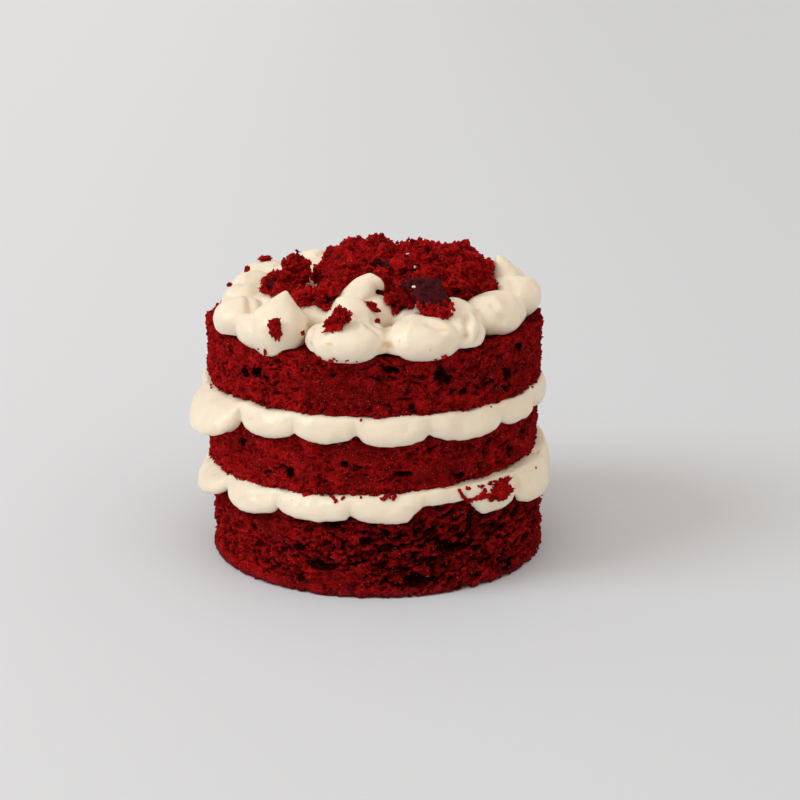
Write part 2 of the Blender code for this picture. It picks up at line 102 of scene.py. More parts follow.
# Dollops as (azimuth, distance out, height, half length, half width, half height): degrees and mm.
RIM_DOLLOPS = [
    (-150, 44.4, 75.4, 7.8, 7.8, 6.4), (-130.5, 44.2, 74.8, 11, 9.2, 6.3),
    (-99.5, 44.4, 74.5, 12.2, 9.4, 6.5), (-73, 44.4, 74.4, 11.8, 9.2, 6.5),
    (-57.5, 43, 75, 7.6, 8.2, 6.2), (-31.5, 40.2, 76, 11.6, 8.4, 6.7),
    (-6, 41.6, 77.2, 10.2, 8, 6.4), (19, 40.6, 76.8, 8.6, 8, 6),
    (43, 41.6, 75.6, 9.8, 8.6, 6), (69, 42.2, 75, 10.2, 8.8, 5.8),
    (95, 41.6, 75.2, 10, 8.6, 6), (120, 41.8, 75, 9.6, 8.6, 5.8),
    (146, 39, 76, 10, 8.4, 6), (171, 36.8, 76.6, 8.4, 7.4, 6.2),
    (-169.5, 38.2, 76, 7.2, 7.4, 6),
]
INNER_DOLLOPS = [
    (-94, 30, 78, 8.5, 7.5, 6.6), (-122, 31, 76.8, 8.5, 7.5, 5.2),
    (-152, 30, 77.2, 9.5, 9, 5.2), (-68, 33, 76, 8.5, 7, 5.2),
    (160, 28, 77.4, 10, 8.5, 5.4), (122, 31, 77, 9, 8, 5.4),
    (88, 31.5, 76.4, 9.5, 7.5, 5.2), (52, 32, 76.6, 9, 7.5, 5.4),
    (25, 33, 76.8, 8, 6.5, 5.2),
]
# Pulled peaks as (foot, bow, tip, foot radius, tip radius), each place in mm.
PEAKS = [
    ((-27, -36, 75.5), (-0.6, -0.6, 0), (-24.6, -35.2, 86.2), 8.4, 0.7),
    ((-3.6, -40, 76), (1.2, 0, 2.2), (-9.6, -39, 84.2), 5.6, 0.9),
    ((-6.6, -31, 76.5), (-0.6, 0, 0.8), (-1.4, -29.6, 87.9), 7.8, 2.1),
    ((-1.4, -29.7, 87.7), (0.4, 0, 0.5), (2, -30, 86.2), 2.1, 0.9),
    ((24.5, -31, 75.5), (0, 0, 0.8), (20.5, -30.5, 82), 6.6, 0.9),
    ((39.6, 3, 77), (0, 0, 0.8), (36.6, 2, 87.6), 6.2, 0.8),
    ((-20, 32, 75.5), (1, 0, 0.6), (-17, 30, 83), 6.8, 0.9),
]
# The low dome under the dollops, as (height of middle, half width, half height).
CROWN_BASE = (71.0 * MM, 40.0 * MM, 7.2 * MM)
PEAK_BALLS = 24
FROSTING_VOXEL = 0.42 * MM
FILLING_VOXEL = FROSTING_VOXEL * 0.95
CROWN_SOFTENING = 6
FROSTING_TRIANGLES = 138000
# Swells pushed into the frosting, as (size of lumps, how far out, seed), in mm.
CROWN_SWELLS = ((7.5, 0.6, 1), (3.2, 0.3, 2))
FILLING_SWELLS = ((5.0, 0.6, 3), (2.0, 0.2, 4))
# Rounds of smoothing that make the even skin with which creases are found.
CREASE_ROUNDS = 36
# Folds of the crown that the photograph shows, as (bent line, half width, depth), in mm. The depth of a
# ridge is below 0.
CROWN_FOLDS = [
    (((25.6, -37, 81.4), (25.4, -41, 79.6), (25.6, -44.8, 74)), 1.1, 1.5),
    (((28.6, -30, 79.8), (29, -37, 78.2), (29.4, -42, 74)), 1.1, 1.4),
    (((-14, -37, 80), (-17.2, -45, 77.2), (-18.4, -47.5, 72.4)), 1.2, 1.3),
    (((5.4, -37.5, 79.4), (3.2, -45, 77.6), (3.6, -50, 73.2)), 1.2, 1.1),
    (((39.6, -7, 82.6), (40.2, -14, 81.6), (40.6, -20, 80)), 1.2, 1.3),
    (((31.4, -26, 80.4), (33.4, -29, 79.6), (37, -30.5, 76.6)), 1.1, 0.9),
    (((-9.8, -39.2, 83.6), (-5.6, -42.6, 82), (-3.4, -49, 79.4)), 1.3, -0.8),
    (((-6.4, -37, 82.2), (-2.6, -39.6, 80.4), (0.6, -44, 79.2)), 1.3, 0.9),
    (((8.4, -40.6, 81.4), (14, -42.2, 82), (21, -40.8, 81.6)), 1.4, -0.9),
    (((15.4, -46.4, 79), (18.6, -47.4, 78.8)), 1.5, 1.3),
    (((-24.4, -35.4, 84), (-19, -37, 79.6), (-15, -39.5, 78)), 1.5, -0.5),
    (((-24.8, -36.8, 83), (-23, -44, 78.6), (-25, -49, 75)), 2.2, -0.4),
    (((-36, -20, 82.4), (-35.4, -25.6, 80.4), (-33.6, -31, 79)), 1.3, 1),
]
# Folds between the lower filling's blobs at the right, in the same terms.
LOWER_FOLDS = [
    (((48, -13.8, 32.4), (51.4, -14.8, 30), (51, -14.6, 26.5)), 1.3, 1.7),
    (((39.6, -31.4, 31.6), (41.4, -32.9, 29.4), (41, -32.6, 26.6)), 1, 1.1),
]
# The photograph shows the dollops between these azimuths. The others get more folds by a rule.
SEEN_FROM, SEEN_TO = -180.0, -15.0
SEEN_FOLDS, HIDDEN_FOLDS = 1, 4
# How a fold runs down its dollop, as (degrees above its middle, share of its bend).
FOLD_PATH = ((80.0, 0.0), (55.0, 0.4), (30.0, 0.8), (5.0, 1.0))

# Single crumbs on the frosting, as (place, half sizes, turn): mm and degrees.
SINGLE_CRUMBS = [
    ((-27.2, -45, 78.4), (1.5, 1.4, 2.5), 20), ((-2.4, -38.9, 82.6), (3.3, 1.8, 1.4), -28),
    ((0.7, -41.4, 79.4), (0.9, 0.6, 0.7), 30), ((-19.9, -43.4, 76.6), (0.5, 0.5, 0.7), 0),
    ((-33.4, 22, 82.6), (1.7, 1.1, 0.9), 10), ((-38, 9, 82.2), (0.8, 0.7, 1.2), 40),
    ((-42.6, -3, 80.6), (0.9, 0.7, 0.6), 70), ((10.2, -36.4, 82.4), (1.2, 0.7, 0.9), 60),
    ((31.5, 21, 83), (1.6, 1.2, 1.1), 15), ((12, 38.5, 82), (2.2, 1.4, 1.2), -35),
    ((-14, 39, 81.6), (1.2, 0.9, 1), 50), ((40, 12.5, 82.8), (1, 0.8, 0.9), 5),
]
# Lumps of the crumb smeared over the lower filling, in the same terms.
SMEAR_LUMPS = [
    ((36, -38.8, 28.4), (3.4, 1.5, 2), 42), ((34, -40.8, 27.8), (2.3, 1.1, 1.2), 40),
    ((36.2, -37.4, 30.3), (3.2, 1.2, 1.8), 45), ((29.8, -41.8, 30.6), (0.7, 0.5, 0.6), 0),
]
# Thin streaks of crumb on the fillings, as (bent line, half width) in mm.
SMEAR_STREAKS = [
    (((23.7, -44.6, 30.9), (24.8, -45.1, 29.1), (26.3, -44.3, 27.5)), 0.5),
    (((26.3, -44.3, 27.5), (28.8, -43.8, 28.2), (30.6, -42.3, 29.2), (31.5, -41.2, 29.9)), 0.62),
    (((30, -43.2, 27.8), (32.4, -41.6, 28.4)), 0.6),
    (((-21, -44.6, 30.8), (-19.8, -44.6, 29.6), (-18.1, -45.6, 30.4), (-16.4, -46.2, 31.2)), 0.6),
    (((-13.2, -47.6, 31.2), (-11.8, -48, 30), (-10.7, -48.7, 28.8)), 0.55),
    (((-9.3, -48.5, 29.7), (-8.6, -48.8, 30.4)), 0.5),
    (((1.9, -49, 29.8), (3.6, -49, 30.8), (5.9, -49, 31.6)), 0.55),
]
# Stretches of cream that small crumbs stick to, as (azimuths, heights, count), in degrees and mm.
SMEARED_STRETCHES = [
    ((-51, -43), (27.2, 31), 12), ((-62, -50), (30.8, 31.6), 10),
    ((-122, -84), (30.4, 31.4), 12), ((-180, 180), (30.8, 31.8), 22),
    ((-180, 180), (53.4, 54), 18), ((-180, 180), (70.2, 71.6), 90),
]
# White sugar on the crumbs where the photograph shows it, and the two sizes of its grains, in mm.
WHITE_SPECKS = [
    (9.8, -7.2, 90.6), (11.7, -17.8, 89.2), (2.4, -24.5, 84.4), (11.2, -29.5, 86.2),
]
SPECK_HALVES = ((0.5, 0.42, 0.36), (0.62, 0.5, 0.42))
# Crumbs dropped round the heap inside an oval, and from where rays look for the skin, in mm.
FRINGE_CRUMBS = 190
FRINGE_MIDDLE = (8.6, -3.0)
FRINGE_HALF = (26.0, 28.0)
DROP_HEIGHT = 100.0
RAY_START = 70.0
# Crumbs larger than this, in mm, get finer triangles.
LARGE_CRUMB = 1.3
# Where the noise seeds of each kind of loose crumb start.
FRINGE_SEED, SMEAR_SEED, STREAK_SEED, SPECK_SEED = 40, 300, 500, 600

TORN_PIECES = (
    "crumb_back_left", "crumb_front_left", "crumb_middle_left", "crumb_front", "crumb_crusted",
)

# Yellow spots in the cream, as (place, half sizes) in mm. The last is painted yellowish shade in the hollow
# under the crusted piece.
YELLOW_SPOTS_AND_SHADE = [
    ((-17.4, -46, 77.4), (1.3, 1.8, 0.8)),
    ((-12.4, -51.9, 75.7), (1.7, 1.6, 0.7)),
    ((19, -46.6, 78.2), (1.8, 1.6, 0.6)),
]
# Baked skin on the crumbled pieces, as (place, half sizes) in mm.
CRUST_PATCHES = {
    "crumble_heap": [
        ((2.8, -14.5, 89), (4.6, 3.4, 2.2)),
        ((9.2, -27.5, 87.2), (3.4, 2.6, 2)),
        ((15, 14, 87), (5, 3.6, 2.4)),
        ((-6, 3, 88), (3, 4.2, 2)),
    ],
    "crumb_crusted": [((15.8, -35, 87.2), (8.6, 8.4, 6))],
    "crumb_front_left": [((-30, -19.4, 85), (2.4, 2.4, 2.2))],
}

# Kinds of noise that tear the crumb, as (size of lumps in mm, detail, roughness, distortion, middle,
# depth in mm). The lumps of TORN_CUT have a size of their own on each solid.
HOLE_CUT = (1.3, 3.0, 0.7, 0.0, 0.5, 2.4)
CRUMB_CUT = (1.1, 3.0, 0.66, 0.6, 0.45, 5.6)
GRAIN_CUT = (0.55, 1.0, 0.5, 0.0, 0.5, 1.5)
BAKED_CUT = (6.0, 2.0, 0.5, 0.0, 0.5, 5.0)
PATCH_CUT = (2.2, 4.0, 0.7, 0.0, 0.5, 1.6)
FINE_CUT = (1.05, 2.0, 0.6, 0.0, 0.5, 4.4)
TORN_CUT = (5.0, 0.78, 0.6, 0.48, 10.0)
BROAD_NOISE = (10.0, 2.0)
WEB_NOISE = (2.8, 5.0, 0.68, 0.9)
BROAD_DEPTH = 0.9
STRAND_FLATNESS = 2.0
BROAD_RANGE = (0.35, 0.65)
PIT_RANGE = 0.10
SEED_SHIFT = (31.0, 17.0, 9.0)
HOLE_SHIFT = (50.0, 9.0, 21.0)
NO_HOLE = -4.0
# How much of the relief is lost in a calm zone, on the baked underside and on a crust.
CALM_FADE, BAKED_FADE, CRUST_FADE = 0.72, 0.8, 0.6
# How deep a calm zone is, in mm, and the range in which it takes hold.
CALM_REACH = 9.0
CALM_RANGE = (-0.15, 0.45)
# Where the torn side ends, in mm: in from the wall, below the top, and from the top and bottom faces.
SIDE_ENDS = (10.0, 5.0)
TOP_ENDS = (6.0, 3.0)
FACE_ENDS = (0.6, 2.0)
RIM_WIDTH = 1.5
BAKED_HEIGHTS = (4.4, 1.2)
# From left to right, where the pits change their depth and where painted shade darkens the crumb towards
# the right, in mm.
LEFT_STRETCH = (-34.0, 12.0)
RIGHT_STRETCH = (16.0, 36.0)
SIDE_SHADE_STRETCH = (-44.0, -8.0)

# Colours as red, green and blue of light, most of them from a deep end to a bright end.
# Reds of the sponge and the crumble: random tone mixes between their ends, and painted shade takes them to
# the deep end in pores and holes.
SPONGE_REDS_AND_SHADE = ((0.026, 0.0007, 0.0009), (0.55, 0.0085, 0.0095))
CRUMBLE_REDS_AND_SHADE = ((0.035, 0.0009, 0.0011), (0.60, 0.0095, 0.0105))
SKIN_BROWNS = ((0.022, 0.0024, 0.0038), (0.085, 0.0105, 0.0140))
# Pink of the painted glints on the crumb.
PAINTED_GLINT_PINK = (0.74, 0.42, 0.38)
CREAM_IVORIES = ((0.86, 0.75, 0.59), (0.88, 0.78, 0.635))
# Warm cream painted into the creases as shade.
CREASE_SHADE_CREAM = (0.88, 0.66, 0.40)
# Yellow of the cream's spots and of painted yellowish shade under the crusted piece.
SPOT_AND_SHADE_YELLOW = (0.84, 0.61, 0.30)
SUGAR_WHITES = ((0.74, 0.66, 0.60), (0.88, 0.84, 0.80))
# The floor from its lit left to its painted shade at the right.
FLOOR_LIT_LEFT = (0.754, 0.776, 0.82)
FLOOR_SHADED_RIGHT = (0.628, 0.65, 0.688)
SPONGE_GRAIN = 0.55 * MM
CRUMBLE_GRAIN = 0.5 * MM
# Depths below the skin, in mm, where the painted shade in the pores is darkest and where it ends on the
# tips.
PORE_SHADE_DEPTH = 3.0
TIP_DEPTH = 0.2
# Roughness of the crumb where it is dry and wet, of its baked skin, and of the cream.
CRUMB_ROUGHNESS = (0.85, 0.3)
SKIN_ROUGHNESS = 0.45
CREAM_ROUGHNESS = (0.29, 0.41)
# How deep a crease is, in mm, where its painted warm shade starts and is full, and how much of that shade
# it gets.
CREASE_SHADE_TINT = (0.08, 1.0, 0.0, 0.75)

# The camera as fitted to the layers' round edges, in metres, degrees and mm of lens.
CAMERA_PLACE = (0.0, -0.620, 0.23082)
CAMERA_DIP = 16.76
CAMERA_TURN = -0.70
CAMERA_LENS = 97.0
SENSOR_WIDTH = 36.0
# Suns as (name, azimuth, height, strength, width in the sky, colour), in degrees.
SUNS = (
    ("key_light", -160.0, 38.0, 1.3, 30.0, (0.89, 0.955, 1.0)),
    ("fill_light", -85.0, 60.0, 0.7, 70.0, (1.0, 1.0, 1.0)),
)
SURROUND_COLOUR = (1.0, 0.908, 0.80, 1.0)
SURROUND_STRENGTH = 0.6
# The floor's size, and how far to either side of the middle its painted shade changes from lit left to
# shaded right, in metres.
FLOOR_RADIUS = 5.0
FLOOR_SHADE_FADE = 0.32


class Graph:
    """A node tree written as plain sums: each call places one node and gives its result."""

    def __init__(self, tree):
        self.tree = tree

    def plug(self, socket, value):
        """Link a socket, or set its value."""
        if isinstance(value, bpy.types.NodeSocket):
            self.tree.links.new(value, socket)
        else:
            socket.default_value = value

    def add(self, kind, inputs=None, **options):
        """Place a node with its options and inputs."""
        node = self.tree.nodes.new(kind)
        for name, value in options.items():
            setattr(node, name, value)
        for name, value in (inputs or {}).items():
            self.plug(node.inputs[name], value)
        return node

    def calc(self, operation, *values):
        """A sum of numbers."""
        node = self.add("ShaderNodeMath", operation=operation)
        for socket, value in zip(node.inputs, values):
            self.plug(socket, value)
        return node.outputs["Value"]

    def plus(self, first, second):
        """Two numbers added."""
        return self.calc("ADD", first, second)

    def minus(self, first, second):
        """A number less another."""
        return self.calc("SUBTRACT", first, second)

    def times(self, first, second):
        """Two numbers multiplied."""
        return self.calc("MULTIPLY", first, second)

    def arrow(self, operation, *values):
        """The results of a sum of vectors: the vector is the first, and a number is "Value"."""
        return self.add("ShaderNodeVectorMath", dict(enumerate(values)), operation=operation).outputs

    def shift(self, vector, offset):
        """A vector moved by a constant."""
        return self.arrow("ADD", vector, offset)[0]

    def scaled(self, vector, scale):
        """A vector made longer."""
        return self.add("ShaderNodeVectorMath", {0: vector, "Scale": scale}, operation="SCALE").outputs[0]

    def parts(self, vector):
        """The x, y and z of a vector."""
        return self.add("ShaderNodeSeparateXYZ", {0: vector}).outputs

    def stored(self, name):
        """A number kept at the vertices."""
        return self.add("ShaderNodeAttribute", attribute_name=name).outputs["Fac"]

    def cut(self, vector, kind, times=1.0):
        """How deep a kind of noise cuts, in mm: below 0 where the noise is under its middle."""
        *look, middle, depth = kind
        return self.times(self.minus(self.noise(vector, *look), middle), depth * times)

    def faded(self, value, share, most):
        """A value that loses this much of itself where a share is 1."""
        return self.times(value, self.minus(1.0, self.times(share, most)))

    def noise(self, vector, size, detail=2.0, roughness=0.5, distortion=0.0):
        """Cloudy noise whose lumps are about this size."""
        inputs = {
            "Vector": vector,
            "Scale": 1.0 / size,
            "Detail": detail,
            "Roughness": roughness,
            "Distortion": distortion,
        }
        return self.add("ShaderNodeTexNoise", inputs).outputs[0]

    def ramp(self, value, start, end, low=0.0, high=1.0, kind="SMOOTHSTEP"):
        """A value read between two limits and brought to two others."""
        inputs = {"Value": value, "From Min": start, "From Max": end, "To Min": low, "To Max": high}
        return self.add("ShaderNodeMapRange", inputs, interpolation_type=kind).outputs[0]

    def mix(self, share, first, second):
        """A colour between two others."""
        node = self.add("ShaderNodeMix", data_type="RGBA")
        self.plug(node.inputs[0], share)
        for socket, value in zip(node.inputs[6:8], (first, second)):
            self.plug(socket, value if isinstance(value, bpy.types.NodeSocket) else (*value, 1.0))
        return node.outputs[2]


# ---------------- meshes

def place_object(name, data):
    """Put a new object in the scene."""
    made = bpy.data.objects.new(name, data)
    bpy.context.scene.collection.objects.link(made)
    return made


def object_from(bm, name):
    """Turn a bmesh into a named object in the scene."""
    bmesh.ops.recalc_face_normals(bm, faces=bm.faces)
    mesh = bpy.data.meshes.new(name)
    bm.to_mesh(mesh)
    bm.free()
    return place_object(name, mesh)


def settle_modifiers(piece):
    """Keep what the modifiers make as the object's own mesh."""
    graph = bpy.context.evaluated_depsgraph_get()
    mesh = bpy.data.meshes.new_from_object(piece.evaluated_get(graph))
    piece.modifiers.clear()
    piece.data = mesh


def triangle_count(piece):
    """Count the triangles of an object's mesh."""
    return sum(len(face.vertices) - 2 for face in piece.data.polygons)


def blend_shapes(piece, voxel, rounds):
    """Melt overlapping shapes into one skin and soften the creases."""
    remesh = piece.modifiers.new("melt", "REMESH")
    remesh.mode = "VOXEL"
    remesh.voxel_size = voxel
    soften = piece.modifiers.new("soften", "SMOOTH")
    soften.factor = 0.5
    soften.iterations = rounds
    settle_modifiers(piece)


def thin_out(piece, triangles):
    """Leave about this many triangles, fewest where the skin is flat."""
    fewer = piece.modifiers.new("fewer", "DECIMATE")
    fewer.ratio = min(1.0, triangles / triangle_count(piece))
    settle_modifiers(piece)


def around(azimuth, distance, height=0.0):
    """A place by its azimuth in degrees and its distance from the axis."""
    angle = math.radians(azimuth)
    return Vector((distance * math.cos(angle), distance * math.sin(angle), height))


def vertex_rows(piece, name):
    """The places or normals of a piece's vertices, as rows of x, y, z."""
    rows = np.empty(len(piece.data.vertices) * 3, np.float32)
    piece.data.vertices.foreach_get(name, rows)
    return rows.reshape(-1, 3).astype(float)


def mark_creases(piece):
    """Keep at each vertex how far it lies below the skin round it, in mm, as the crease depth by which the
    cream's finish paints shade.
    """
    mesh = piece.data
    ends = np.empty(len(mesh.edges) * 2, np.int32)
    mesh.edges.foreach_get("vertices", ends)
    first, second = ends.reshape(-1, 2).T
    count = len(mesh.vertices)
    share = 1.0 / np.maximum(np.bincount(ends, minlength=count), 1)
    places = vertex_rows(piece, "co") / MM
    smooth = places.copy()
    for _ in range(CREASE_ROUNDS):
        for axis in range(3):
            row = smooth[:, axis]
            summed = np.bincount(first, row[second], count) + np.bincount(second, row[first], count)
            smooth[:, axis] = 0.4 * row + 0.6 * summed * share
    below = ((smooth - places) * vertex_rows(piece, "normal")).sum(axis=1)
    crease_shade = mesh.attributes.new("crease_shade", "FLOAT", "POINT")
    crease_shade.data.foreach_set("value", below.astype(np.float32))


def dress(piece, material, slot, *nodes):
    """Give a piece its finish, attach it to the root and hide the solids that it stands in for."""
    piece.data.materials.clear()
    piece.data.materials.append(material)
    piece.data.shade_smooth()
    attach(piece, "root")
    if nodes:
        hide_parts(*nodes)
    return piece


# ---------------- torn crumb

def shape_tree(name, *directions):
    """A tree of nodes that takes or gives a shape, and the graph that fills it."""
    tree = bpy.data.node_groups.new(name, "GeometryNodeTree")
    for direction in directions:
        tree.interface.new_socket("Geometry", in_out=direction, socket_type="NodeSocketGeometry")
    return tree, Graph(tree)


def keep_big_islands(g, skin, least):
    """Drop the closed bits of skin with few vertices: sealed pores and loose scraps."""
    island = g.add("GeometryNodeInputMeshIsland").outputs["Island Index"]
    size = g.add("GeometryNodeAccumulateField", {"Value": 1.0, "Group ID": island}, domain="POINT")
    scrap = g.calc("LESS_THAN", size.outputs["Total"], least)
    return g.add("GeometryNodeDeleteGeometry", {"Geometry": skin, "Selection": scrap}).outputs[0]


def store(g, skin, name, value):
    """Keep a number at each vertex for the finishes."""
    inputs = {"Geometry": skin, "Name": name, "Value": value}
    return g.add("GeometryNodeStoreNamedAttribute", inputs, data_type="FLOAT", domain="POINT").outputs[0]


def skin_of(g, density, low, high, voxel, least):
    """Fill a box with a density field, in mm, and skin it where the field is half full."""
    low_corner, high_corner = [part * MM for part in low], [part * MM for part in high]
    inputs = {"Density": density, "Background": 0.0, "Min": low_corner, "Max": high_corner}
    for axis, start, end in zip("XYZ", low, high):
        inputs["Resolution " + axis] = int((end - start) / voxel)
    volume = g.add("GeometryNodeVolumeCube", inputs).outputs[0]
    skin = g.add("GeometryNodeVolumeToMesh", {"Volume": volume, "Threshold": 0.5}).outputs[0]
    return keep_big_islands(g, skin, least)


def inside_ball(g, place, centre, half, azimuth=0.0):
    """1 at a squashed ball's centre, 0 at its skin and below 0 outside. It is turned to face an azimuth."""
    offset = g.shift(place, [-part for part in centre])
    if azimuth:
        turn = {"Vector": offset, "Angle": -math.radians(azimuth)}
        offset = g.add("ShaderNodeVectorRotate", turn, rotation_type="Z_AXIS").outputs[0]
    offset = g.arrow("DIVIDE", offset, half)[0]
    return g.minus(1.0, g.arrow("LENGTH", offset)["Value"])


def highest(g, values, start=0.0):
    """The largest of some values."""
    for value in values:
        start = g.calc("MAXIMUM", start, value)
    return start


def side_holes(g, place, spec):
    """Holes torn in the side, as a depth in mm above 0 inside them."""
    ragged = g.cut(g.shift(place, HOLE_SHIFT), HOLE_CUT)
    depths = []
    for azimuth, height, half_width, half_height, depth in spec["holes"]:
        centre = around(azimuth, spec["radius"] - 0.2, height)
        ball = inside_ball(g, place, centre, (depth, half_width, half_height), azimuth)
        least = min(half_width, half_height, depth)
        depths.append(g.times(g.plus(ball, ragged), least))
    return highest(g, depths, NO_HOLE)


def calm_zones(g, place, zones, radius):
    """1 where the cut side is fine and even, and 0 where it is torn."""
    balls = []
    for azimuth, height, half_width, half_height in zones:
        centre = around(azimuth, radius, height)
        balls.append(inside_ball(g, place, centre, (CALM_REACH, half_width, half_height), azimuth))
    return g.ramp(highest(g, balls, -1.0), *CALM_RANGE)


def crumb_relief(g, spot, calm, torn, spec):
    """How deep the torn side lies at a spot, in mm: broad crags, deep pits between strands, and crumb."""
    crag, lean_start = spec["crag"], spec["lean_start"] + spec["seed"] * SEED_SHIFT[0]
    x, y, z = g.parts(spot)
    beyond = g.calc("MAXIMUM", g.minus(x, lean_start), 0.0)
    flattened = g.times(g.minus(z, g.times(beyond, spec["lean"])), STRAND_FLATNESS)
    stretched = g.add("ShaderNodeCombineXYZ", {"X": x, "Y": y, "Z": flattened}).outputs[0]
    broad = g.ramp(g.noise(stretched, *BROAD_NOISE), *BROAD_RANGE, 0.0, BROAD_DEPTH * crag)
    web, opening = g.noise(stretched, *WEB_NOISE), spec["pit_start"]
    pits = g.ramp(web, opening, opening + PIT_RANGE, 0.0, spec["pit_depth"], "LINEAR")
    pits = g.times(pits, torn)
    crumb = g.cut(spot, CRUMB_CUT, crag)
    grain = g.cut(spot, GRAIN_CUT)
    coarse = g.plus(g.plus(broad, pits), crumb)
    return g.plus(g.faded(coarse, calm, CALM_FADE), grain)


def raised_ceiling(g, x, y, out, spec):
    """The height of a round's top, in mm, with the stretch of its rim that stands up."""
    azimuth = g.calc("DEGREES", g.calc("ARCTAN2", y, x))
    away = g.calc("ABSOLUTE", g.minus(azimuth, RAISED_RIM_AZIMUTH))
    crest = g.minus(1.0, g.calc("POWER", g.calc("DIVIDE", away, RAISED_RIM_HALF_WIDTH), 2.0))
    crest = g.times(g.calc("MAXIMUM", crest, 0.0), spec["rim"])
    crest = g.times(crest, g.ramp(out, RAISED_RIM_START / MM, RAISED_RIM_FULL, kind="LINEAR"))
    return g.plus(crest, spec["high"])


def rough_share(g, out, wall, inner, z, spec):
    """1 near the side, where the crumb is torn, and 0 inside and on the flat top and bottom."""
    share = g.ramp(out, *[spec["radius"] - end for end in SIDE_ENDS])
    bare = g.ramp(z, *[spec["high"] - end for end in TOP_ENDS], RIM_WIDTH, spec["bare_top"])
    rim = g.ramp(g.plus(wall, bare), -RIM_WIDTH, 0.0)
    return g.times(share, g.calc("MAXIMUM", rim, g.ramp(inner, *FACE_ENDS)))


def sponge_tree(spec):
    """Nodes that fill one round with a field of torn crumb and skin it."""
    tree, g = shape_tree("crumb_" + spec["name"], "OUTPUT")
    place = g.scaled(g.add("GeometryNodeInputPosition").outputs[0], 1.0 / MM)
    place = g.shift(place, (-spec["middle_x"], 0.0, 0.0))
    x, y, z = g.parts(place)
    out = g.calc("SQRT", g.plus(g.times(x, x), g.times(y, y)))
    wall = g.minus(out, spec["radius"])
    floor = g.plus(g.times(x, spec["slope"]), spec["low"])
    ceiling = raised_ceiling(g, x, y, out, spec)
    below, above = g.minus(floor, z), g.minus(z, ceiling)
    body = g.calc("SMOOTH_MAX", wall, g.calc("MAXIMUM", below, above), EDGE_ROUNDING)

    spot = g.shift(place, [spec["seed"] * step for step in SEED_SHIFT])
    calm = calm_zones(g, place, spec["calm"], spec["radius"])
    torn = g.ramp(x, *LEFT_STRETCH, spec["left_torn"], 1.0)
    torn = g.times(torn, g.ramp(x, *RIGHT_STRETCH, 1.0, spec["right_torn"]))
    relief = crumb_relief(g, spot, calm, torn, spec)
    inner = g.calc("MINIMUM", g.minus(z, floor), g.minus(ceiling, z))
    baked = g.ramp(g.plus(z, g.cut(spot, BAKED_CUT)), *BAKED_HEIGHTS, 0.0, spec["baked"])
    rough = g.faded(rough_share(g, out, wall, inner, z, spec), baked, BAKED_FADE)
    holes = side_holes(g, place, spec)
    depth = highest(g, (holes, below), g.plus(body, g.times(relief, rough)))
    voxel = SPONGE_VOXEL / MM
    density = g.ramp(depth, -2.0 * voxel, 2.0 * voxel, 1.0, 0.0, "LINEAR")
    reach = spec["radius"] + 2.0
    low = (spec["middle_x"] - reach, -reach, spec["low"] - 3.5)
    high = (spec["middle_x"] + reach, reach, spec["high"] + 3.5)
    whole = skin_of(g, density, low, high, voxel, SPONGE_LEAST)
    # hollow is the depth below the skin, more in the holes; the red finishes paint shade by it.
    whole = store(g, whole, "hollow", g.minus(g.ramp(holes, -0.4, 0.0, 0.0, HOLE_SHADE_DEPTH), body))
    # The calm zones keep their own darker tone here, together with painted shade that darkens the sponge
    # towards its right.
    whole = store(g, whole, "calm", g.calc("MAXIMUM", calm, g.ramp(x, *SIDE_SHADE_STRETCH, 0.0, 0.5)))
    whole = store(g, whole, "crust", g.times(baked, BAKED_CRUST))
    g.add("NodeGroupOutput", {"Geometry": whole})
    return tree


